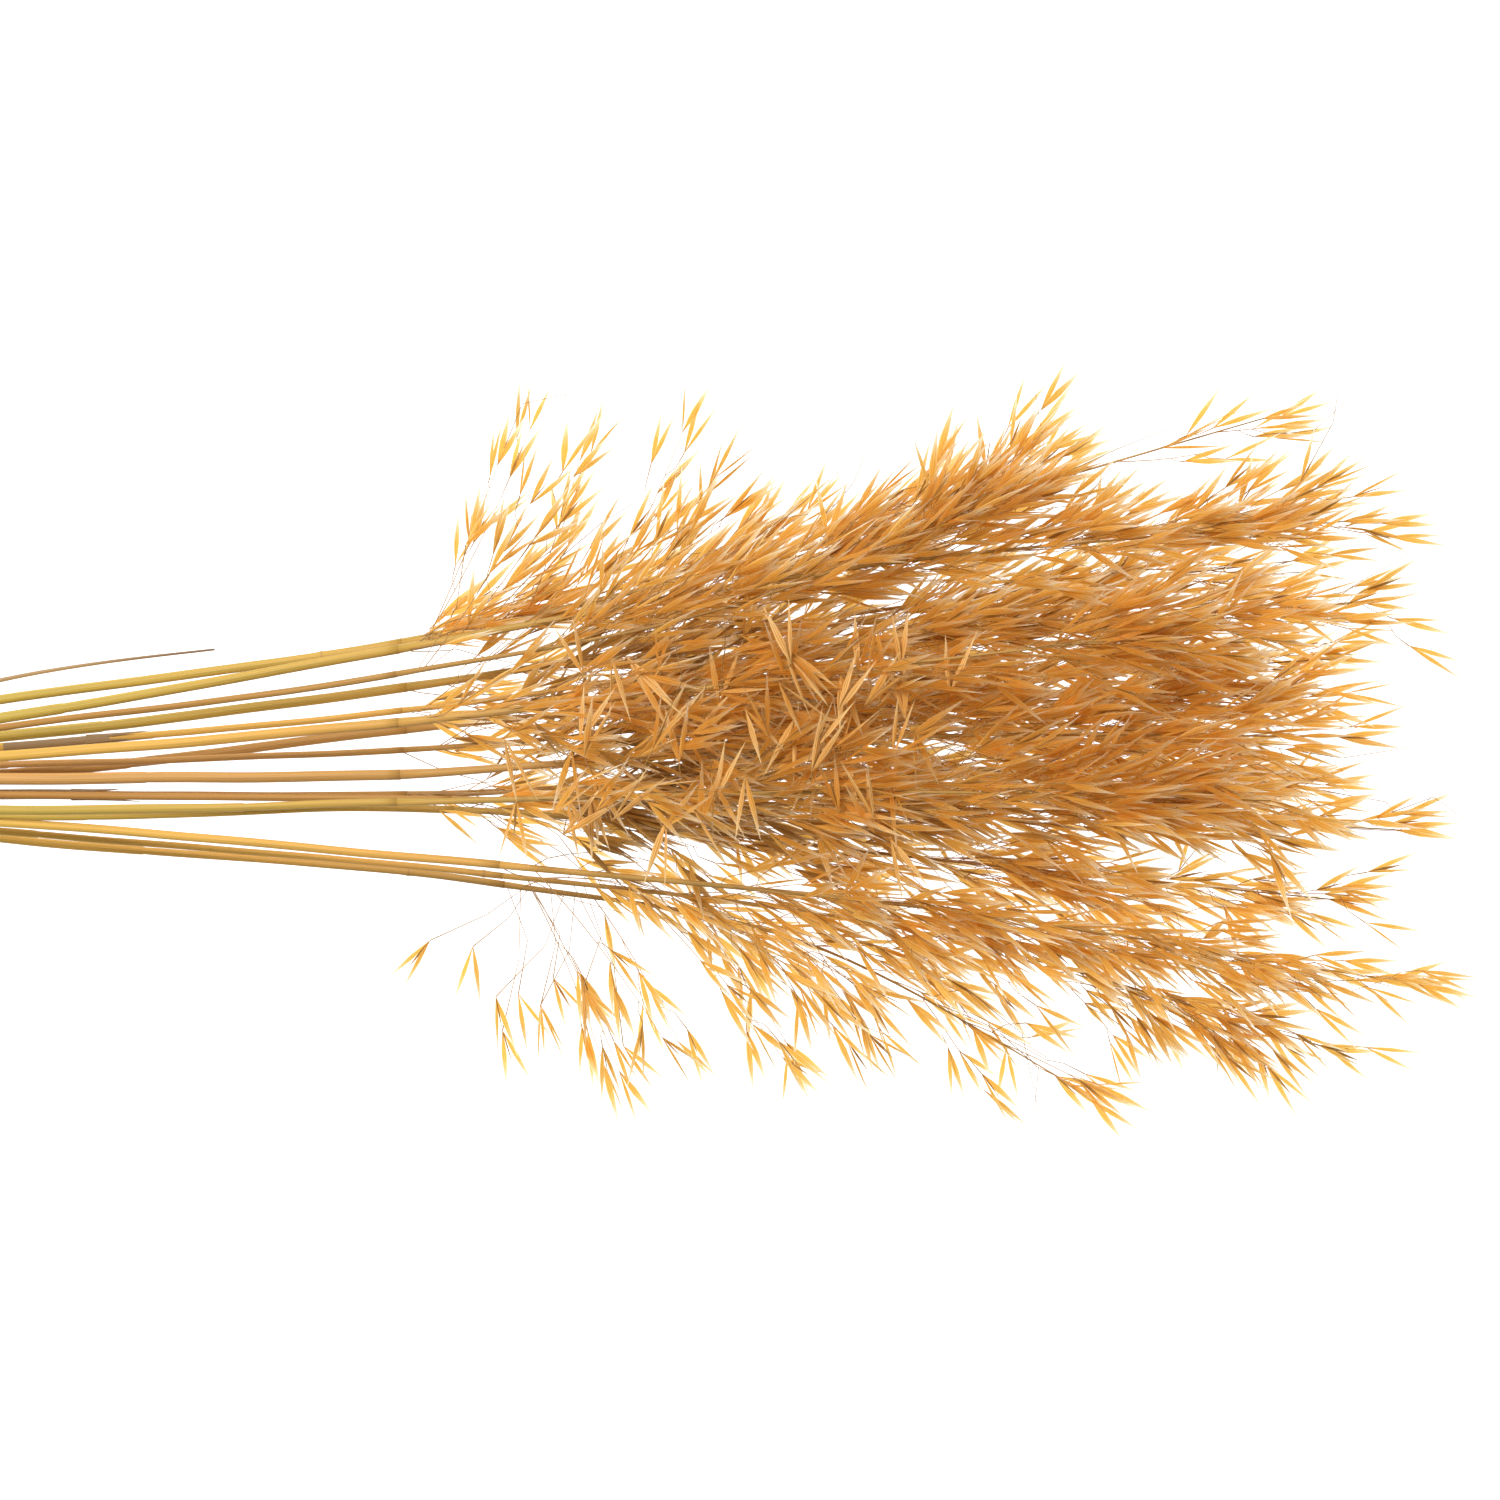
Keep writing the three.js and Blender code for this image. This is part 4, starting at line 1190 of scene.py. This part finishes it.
def set_twig(piece, tools, line, ends, draw):
    """A bare, kinked twig near the neck of a panicle."""
    at = line(mix(*ends, mix(*TWIG_PLACE, draw())))
    along = (line(at.x + 1) - at).normalized()
    side = turned(level_of(along), along, 2 * math.pi * draw())
    wide = mix(*TWIG_WIDE, draw())
    rings = [(at, TWIG_ROOT_RADIUS)]
    for kink in range(TWIG_KINKS):
        spread = wide + mix(*TWIG_BEND, draw())
        way = leaning(along, turned(side, along, TWIG_TURN * (draw() - 0.5)), spread)
        at = raised(at + way * mix(*TWIG_SPAN, draw()))
        rings.append((at, mix(*TWIG_RADII, kink / TWIG_KINKS)))
    set_rod(piece, tools.branch, rings, TWIG_TONE, material=1)


def set_axis(piece, tools, number, line, ends):
    """The axis of a panicle, which begins inside the end of its culm."""
    culm = CULMS[number]
    shares = [i / tools.axis.spans for i in range(tools.axis.spans + 1)]
    places = [mix(ends[0] - NECK_LAP, ends[1], s) for s in shares]
    tools.axis.grain[:, 1] = np.array([share_along(culm, x) for x in places])[tools.axis.ring]
    neck = stalk_radius(culm, ends[0]) - NECK_INSET
    rings = [(line(x) + bend_at(number, x), mix(neck, FINE_AXIS_TIP, s ** FINE_AXIS_TAPER))
             for x, s in zip(places, shares)]
    set_rod(piece, tools.axis, rings, 0.0, material=2, flat=STALK_FLAT)


def make_head(number, grown, tools, sizes, materials):
    """One panicle: its axis, the branches that its solid has, and many finer ones."""
    line, axis, tip, branches = grown
    culm = CULMS[number]
    # The lower end's tone is partly the panicle's own and partly painted shade, browner where the panicle
    # lies underneath
    low_tone_and_shade = LOW_END_TONE_AND_SHADE.get(number, USUAL_TONE)
    draw = draws(HEAD_SEED + number)
    piece = bmesh.new()
    ends = (axis[0][0].x, axis[-1][0].x)

    # Tone along the panicle, from its lower end's to the paler TIP_TONE at its tip: partly painted shade,
    # browner at the crowded neck
    def tone_and_shade_at(x):
        return mix(low_tone_and_shade, TIP_TONE, min(max((x - ends[0]) / (ends[1] - ends[0]), 0), 1))

    set_axis(piece, tools, number, line, ends)
    set_spikelet(piece, tools, tip, TIP_TONE, draw)
    for _, spikelets, curve in branches:
        set_branch(piece, tools, curve)
        for glumes in spikelets:
            set_spikelet(piece, tools, glumes, tone_and_shade_at(glumes[0][0].x), draw)
        set_side_spikelets(piece, tools, curve, MAIN_SPIKELETS, culm, tone_and_shade_at, draw)
    start = mix(*FINE_FROM, draw())
    for _ in range(round(sizes.fine_branches * FULLNESS.get(number, 1))):
        curve = fine_branch(culm, line, ends, start, draw)
        set_full_branch(piece, tools, curve, sizes.spikelets, culm, tone_and_shade_at, draw)
    for branch in range(TIP_BRANCHES):
        u = mix(TIP_FROM, TIP_TO, (branch + draw()) / TIP_BRANCHES)
        curve = beside_axis(culm, line, ends, u, 1, draw)
        set_full_branch(piece, tools, curve, SHORT_SPIKELETS, culm, tone_and_shade_at, draw)
    set_loose_spikelets(piece, tools, line, ends, LOOSE.get(number, 0), draw)
    set_stray_spikelets(piece, tools, line, ends, STRAY.get(number, (0, 0, 0, 0, 0)), draw)
    for _ in range(TWIGS.get(number, 0)):
        set_twig(piece, tools, line, ends, draw)
    head = finished(f"head_{number + 1:02d}", piece, materials)
    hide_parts(f"panicle_{number + 1:02d}")
    return head


def stem_stations(number):
    """The stations along a stem: place, extra radius and part (1 at a joint, -1 on a torn mouth)."""
    joint, mouth = CULMS[number].joint, CULMS[number].mouth
    torn = TORN_SHEATHS.get(number)
    mouth = torn or mouth
    neck = CULMS[number].path[0][0]
    stations = [(x, 0.0, 0.0) for x in np.linspace(CUT_END + CLEARANCE, neck, STALK_STATIONS)
                if abs(x - joint) > JOINT_ROOM and abs(x - mouth) > KNOT_ROOM]
    for at in [joint] + KNOTS.get(number, []):
        stations = [s for s in stations if abs(s[0] - at) > KNOT_ROOM]
        stations += [(at + off, extra, part) for off, extra, part in JOINT_STATIONS]
    stations += [(mouth + off, extra, part) for off, extra, part in MOUTH_STATIONS]
    sheathed = []
    for x, extra, part in sorted(stations):
        if joint + SHEATH_START < x <= mouth:
            extra += SHEATH_EXTRA
        if torn and mouth - TORN_LENGTH < x <= mouth:
            extra += TORN_EXTRA
            part = -1.0
        sheathed.append((x, extra, part))
    return sheathed


def make_stem(number, line, materials):
    """One culm from its cut end to the panicle, with its joints and leaf sheath."""
    culm = CULMS[number]
    stations = stem_stations(number)
    pattern = tube_pattern(f"stem shape {number}", STALK_SIDES, len(stations) - 1, smooth=True)
    rings = []
    for x, extra, _ in stations:
        radius = stalk_radius(culm, x) + extra
        rings.append((line(float(x)) + bend_at(number, x), radius))
    pattern.grain[:, 1] = np.array([share_along(culm, x) for x, _, _ in stations])[pattern.ring]
    piece = bmesh.new()
    set_rod(piece, pattern, rings, tones=[part for _, _, part in stations], flat=STALK_FLAT)
    bpy.data.meshes.remove(pattern.mesh)
    if number in TORN_SHEATHS:
        set_torn_mouth(piece, line, TORN_SHEATHS[number], number)
    if number == LEAF_CULM:
        set_leaf(piece, line)
    stem = finished(f"culm_{number + 1:02d}", piece, materials)
    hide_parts(f"stem_{number + 1:02d}")
    return stem


def set_torn_mouth(piece, line, mouth, number):
    """A few ragged strips that stand off a culm at the mouth of its sheath."""
    draw = draws(TORN_SEED + number)
    pattern = tube_pattern("torn strip shape", 4, 4)
    radius = culm_radius(CULMS[number], mouth)
    for strip in range(TORN_STRIPS):
        turn = 2 * math.pi * (strip + 0.5 * draw()) / TORN_STRIPS
        reach = mix(*TORN_REACH, draw())
        lift = mix(*TORN_LIFT, draw())
        rings = []
        for i in range(pattern.spans + 1):
            s = i / pattern.spans
            off = radius + TORN_OFF + lift * s * s
            away = Vector((0, math.cos(turn) * off, math.sin(turn) * off))
            rings.append((line(mouth - TORN_ROOT + reach * s) + away, mix(*TORN_WIDTH, s)))
        set_rod(piece, pattern, rings, tone=-1.0, flat=TORN_FLAT)
    bpy.data.meshes.remove(pattern.mesh)


def set_leaf(piece, line):
    """The dry leaf: a thin ribbon that leaves its culm and curls along it."""
    pattern = tube_pattern("leaf shape", LEAF_SIDES, LEAF_SPANS)
    offset = line_through(LEAF_PATH)
    first, last = LEAF_PATH[0][0], LEAF_PATH[-1][0]
    rings = []
    for i in range(pattern.spans + 1):
        s = i / pattern.spans
        x = mix(first, last, s)
        away = offset(x)
        across = LEAF_CURL[0] * math.sin(LEAF_CURL[1] * s)
        up = LEAF_LIFT[0] * math.cos(LEAF_LIFT[1] * s)
        at = line(x) + Vector((0, away.y, away.z)) + Vector((0, across, up)) * s
        rings.append((at, mix(*FINE_LEAF_WIDTH, s)))
    set_rod(piece, pattern, rings, material=1, flat=FINE_LEAF_FLAT)
    bpy.data.meshes.remove(pattern.mesh)


def set_raffia_turn(piece, middle, tilt, radius, tone):
    """One turn of raffia round the pack: a flattened strand swept round the bundle's line."""
    strand = bmesh.new()
    bmesh.ops.create_circle(strand, segments=RAFFIA_SIDES, radius=1)
    for v in strand.verts:
        v.co = (v.co.x * RAFFIA_WIDTH, 0, radius + v.co.y * RAFFIA_THICKNESS)
    bmesh.ops.spin(strand, geom=strand.verts[:] + strand.edges[:], cent=(0, 0, 0), axis=(1, 0, 0),
                   angle=2 * math.pi, steps=RAFFIA_STEPS, use_merge=True)
    bmesh.ops.remove_doubles(strand, verts=strand.verts, dist=MERGE_DISTANCE)
    bmesh.ops.recalc_face_normals(strand, faces=strand.faces)
    layer = strand.verts.layers.float_vector.new("grain")
    for v in strand.verts:
        turn = math.atan2(v.co.y, v.co.z)
        off = math.hypot(v.co.y, v.co.z)
        v[layer] = (v.co.x + 2 * (off - radius), RAFFIA_FIBRES * math.sin(turn), tone)
        wander = RAFFIA_WANDER * noise.noise(Vector((turn * 3, tone, 0)))
        v.co.x += middle + tilt * math.sin(turn) + wander
        swell = 1 + RAFFIA_SWELLING * noise.noise(Vector((turn * 5, 0, tone)))
        v.co.y *= swell
        v.co.z = v.co.z * swell + TIE_HEIGHT
    for face in strand.faces:
        face.smooth = True
    join_into(piece, strand)


def join_into(piece, part):
    mesh = bpy.data.meshes.new("part")
    part.to_mesh(mesh)
    part.free()
    piece.from_mesh(mesh)
    bpy.data.meshes.remove(mesh)


def set_knot(piece):
    """The knot on top of the tie, and its two tails."""
    top = 2 * TIE_HEIGHT
    length, width, height = KNOT_SIZE
    for way in (1, -1):
        loop = bmesh.new()
        bmesh.ops.create_uvsphere(loop, u_segments=16, v_segments=10, radius=1)
        layer = loop.verts.layers.float_vector.new("grain")
        for v in loop.verts:
            v[layer] = (3 * v.co.y, 2 * v.co.x, 0.3 + 0.2 * way)
            v.co = (v.co.x * length, v.co.y * width + way * KNOT_APART, v.co.z * height + top - KNOT_SUNK)
            v.co.x += way * KNOT_TILT * v.co.y
        for face in loop.faces:
            face.smooth = True
        join_into(piece, loop)
    pattern = tube_pattern("tail shape", TAIL_SIDES, TAIL_SPANS, smooth=True)
    for way in (-1, 1):
        rings = []
        for i in range(pattern.spans + 1):
            s = i / pattern.spans
            rise = TAIL_RISE + TAIL_ARCH * s * (1 - s) - TAIL_RISE * s * s
            aside = KNOT_APART + TAIL_SPREAD * s ** 0.8
            rings.append((Vector((TAIL_LENGTH * s, way * aside, top + rise)), mix(*TAIL_WIDTH, s)))
        set_rod(piece, pattern, rings, tone=0.5 + 0.3 * way, flat=TAIL_FLAT)
    bpy.data.meshes.remove(pattern.mesh)


class FEATHERGRASS_OT_heads(bpy.types.Operator):
    """Build the panicles, each in place of its solid"""

    bl_idname = "feathergrass.heads"
    bl_label = "Panicles"

    def execute(self, context):
        sizes, colours = context.scene.feathergrass_sizes, context.scene.feathergrass_colours
        paper, wood = glume_material(colours), branch_material(colours)
        stalks = {tone: stem_material(tone, colours) for tone in STEM_TONES}
        tools = Tools(sizes)
        for number, grown in enumerate(grow_main_branches()):
            make_head(number, grown, tools, sizes, [paper, wood, stalks[CULMS[number].tone]])
        for pattern in [tools.pedicel, tools.branch, tools.axis] + tools.glumes:
            bpy.data.meshes.remove(pattern.mesh)
        return {"FINISHED"}


class FEATHERGRASS_OT_stems(bpy.types.Operator):
    """Build the culms with their joints and sheaths, and the dry leaf"""

    bl_idname = "feathergrass.stems"
    bl_label = "Culms"

    def execute(self, context):
        colours = context.scene.feathergrass_colours
        dressed = {tone: stem_material(tone, colours) for tone in STEM_TONES}
        leaf = leaf_material(colours)
        for number, culm in enumerate(CULMS):
            make_stem(number, culm_line(culm), [dressed[culm.tone], leaf])
        return {"FINISHED"}


class FEATHERGRASS_OT_tie(bpy.types.Operator):
    """Build the raffia tie"""

    bl_idname = "feathergrass.tie"
    bl_label = "Tie"

    def execute(self, context):
        colours = context.scene.feathergrass_colours
        piece = bmesh.new()
        for turn in RAFFIA_TURNS:
            set_raffia_turn(piece, *turn)
        set_knot(piece)
        tie = finished("raffia_tie", piece, [raffia_material(colours)])
        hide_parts("tie")
        return {"FINISHED"}


class FEATHERGRASS_OT_stage(bpy.types.Operator):
    """Build the table, the light and the camera"""

    bl_idname = "feathergrass.stage"
    bl_label = "Stage"

    def execute(self, context):
        scene = context.scene
        colours = scene.feathergrass_colours
        material, tree, out, start = new_material("pale table")
        pale = start.node("ShaderNodeBsdfPrincipled", None, {
            "Base Color": (*colours.table, 1), "Roughness": 0.9, "Specular IOR Level": 0.1,
            "Emission Color": (1, 1, 1, 1), "Emission Strength": TABLE_GLOW})
        tree.links.new(pale.link, out.inputs["Surface"])
        slab = bmesh.new()
        bmesh.ops.create_grid(slab, x_segments=1, y_segments=1, size=TABLE_HALF_WIDTH)
        mesh = bpy.data.meshes.new("table")
        slab.to_mesh(mesh)
        slab.free()
        mesh.materials.append(material)
        table = bpy.data.objects.new("table", mesh)
        scene.collection.objects.link(table)

        world = bpy.data.worlds.new("studio")
        world.use_nodes = True
        world.node_tree.nodes["Background"].inputs["Color"].default_value = (1, 1, 1, 1)
        world.node_tree.nodes["Background"].inputs["Strength"].default_value = ROOM_LIGHT
        scene.world = world
        for name, place, size, power in LIGHTS:
            light = bpy.data.lights.new(name, "AREA")
            light.size = size
            light.energy = power
            lamp = bpy.data.objects.new(name, light)
            lamp.location = place
            towards = Vector(LIT_PLACE) - Vector(place)
            lamp.rotation_euler = towards.to_track_quat("-Z", "Y").to_euler()
            scene.collection.objects.link(lamp)

        lens = bpy.data.cameras.new("camera")
        lens.sensor_width = SENSOR_WIDTH
        lens.lens = SENSOR_WIDTH * (CAMERA_HEIGHT - HEADS_HEIGHT) / VIEW_WIDTH
        camera = bpy.data.objects.new("camera", lens)
        middle = to_row(Vector(VIEW_MIDDLE))
        camera.location = (middle.x, middle.y, CAMERA_HEIGHT)
        scene.collection.objects.link(camera)
        scene.camera = camera
        scene.view_settings.view_transform = "Standard"
        return {"FINISHED"}


class FEATHERGRASS_PT_panel(bpy.types.Panel):
    """Lists the bundle's pieces, sizes and colours"""

    bl_idname = "FEATHERGRASS_PT_panel"
    bl_label = "Feather grass"
    bl_space_type = "VIEW_3D"
    bl_region_type = "UI"
    bl_category = "Feather grass"

    def draw(self, context):
        for operator in OPERATORS:
            self.layout.operator(operator.bl_idname)
        for group in (context.scene.feathergrass_sizes, context.scene.feathergrass_colours):
            for name in group.__annotations__:
                self.layout.prop(group, name)


OPERATORS = (FEATHERGRASS_OT_stems, FEATHERGRASS_OT_heads, FEATHERGRASS_OT_tie, FEATHERGRASS_OT_stage)
CLASSES = (Sizes, Colours, *OPERATORS, FEATHERGRASS_PT_panel)


def register():
    for cls in CLASSES:
        bpy.utils.register_class(cls)
    bpy.types.Scene.feathergrass_sizes = PointerProperty(type=Sizes)
    bpy.types.Scene.feathergrass_colours = PointerProperty(type=Colours)


def unregister():
    del bpy.types.Scene.feathergrass_colours
    del bpy.types.Scene.feathergrass_sizes
    for cls in reversed(CLASSES):
        bpy.utils.unregister_class(cls)


def main():
    register()
    bpy.ops.feathergrass.stems()
    bpy.ops.feathergrass.heads()
    bpy.ops.feathergrass.tie()
    bpy.ops.feathergrass.stage()


if __name__ == "__main__":
    main()
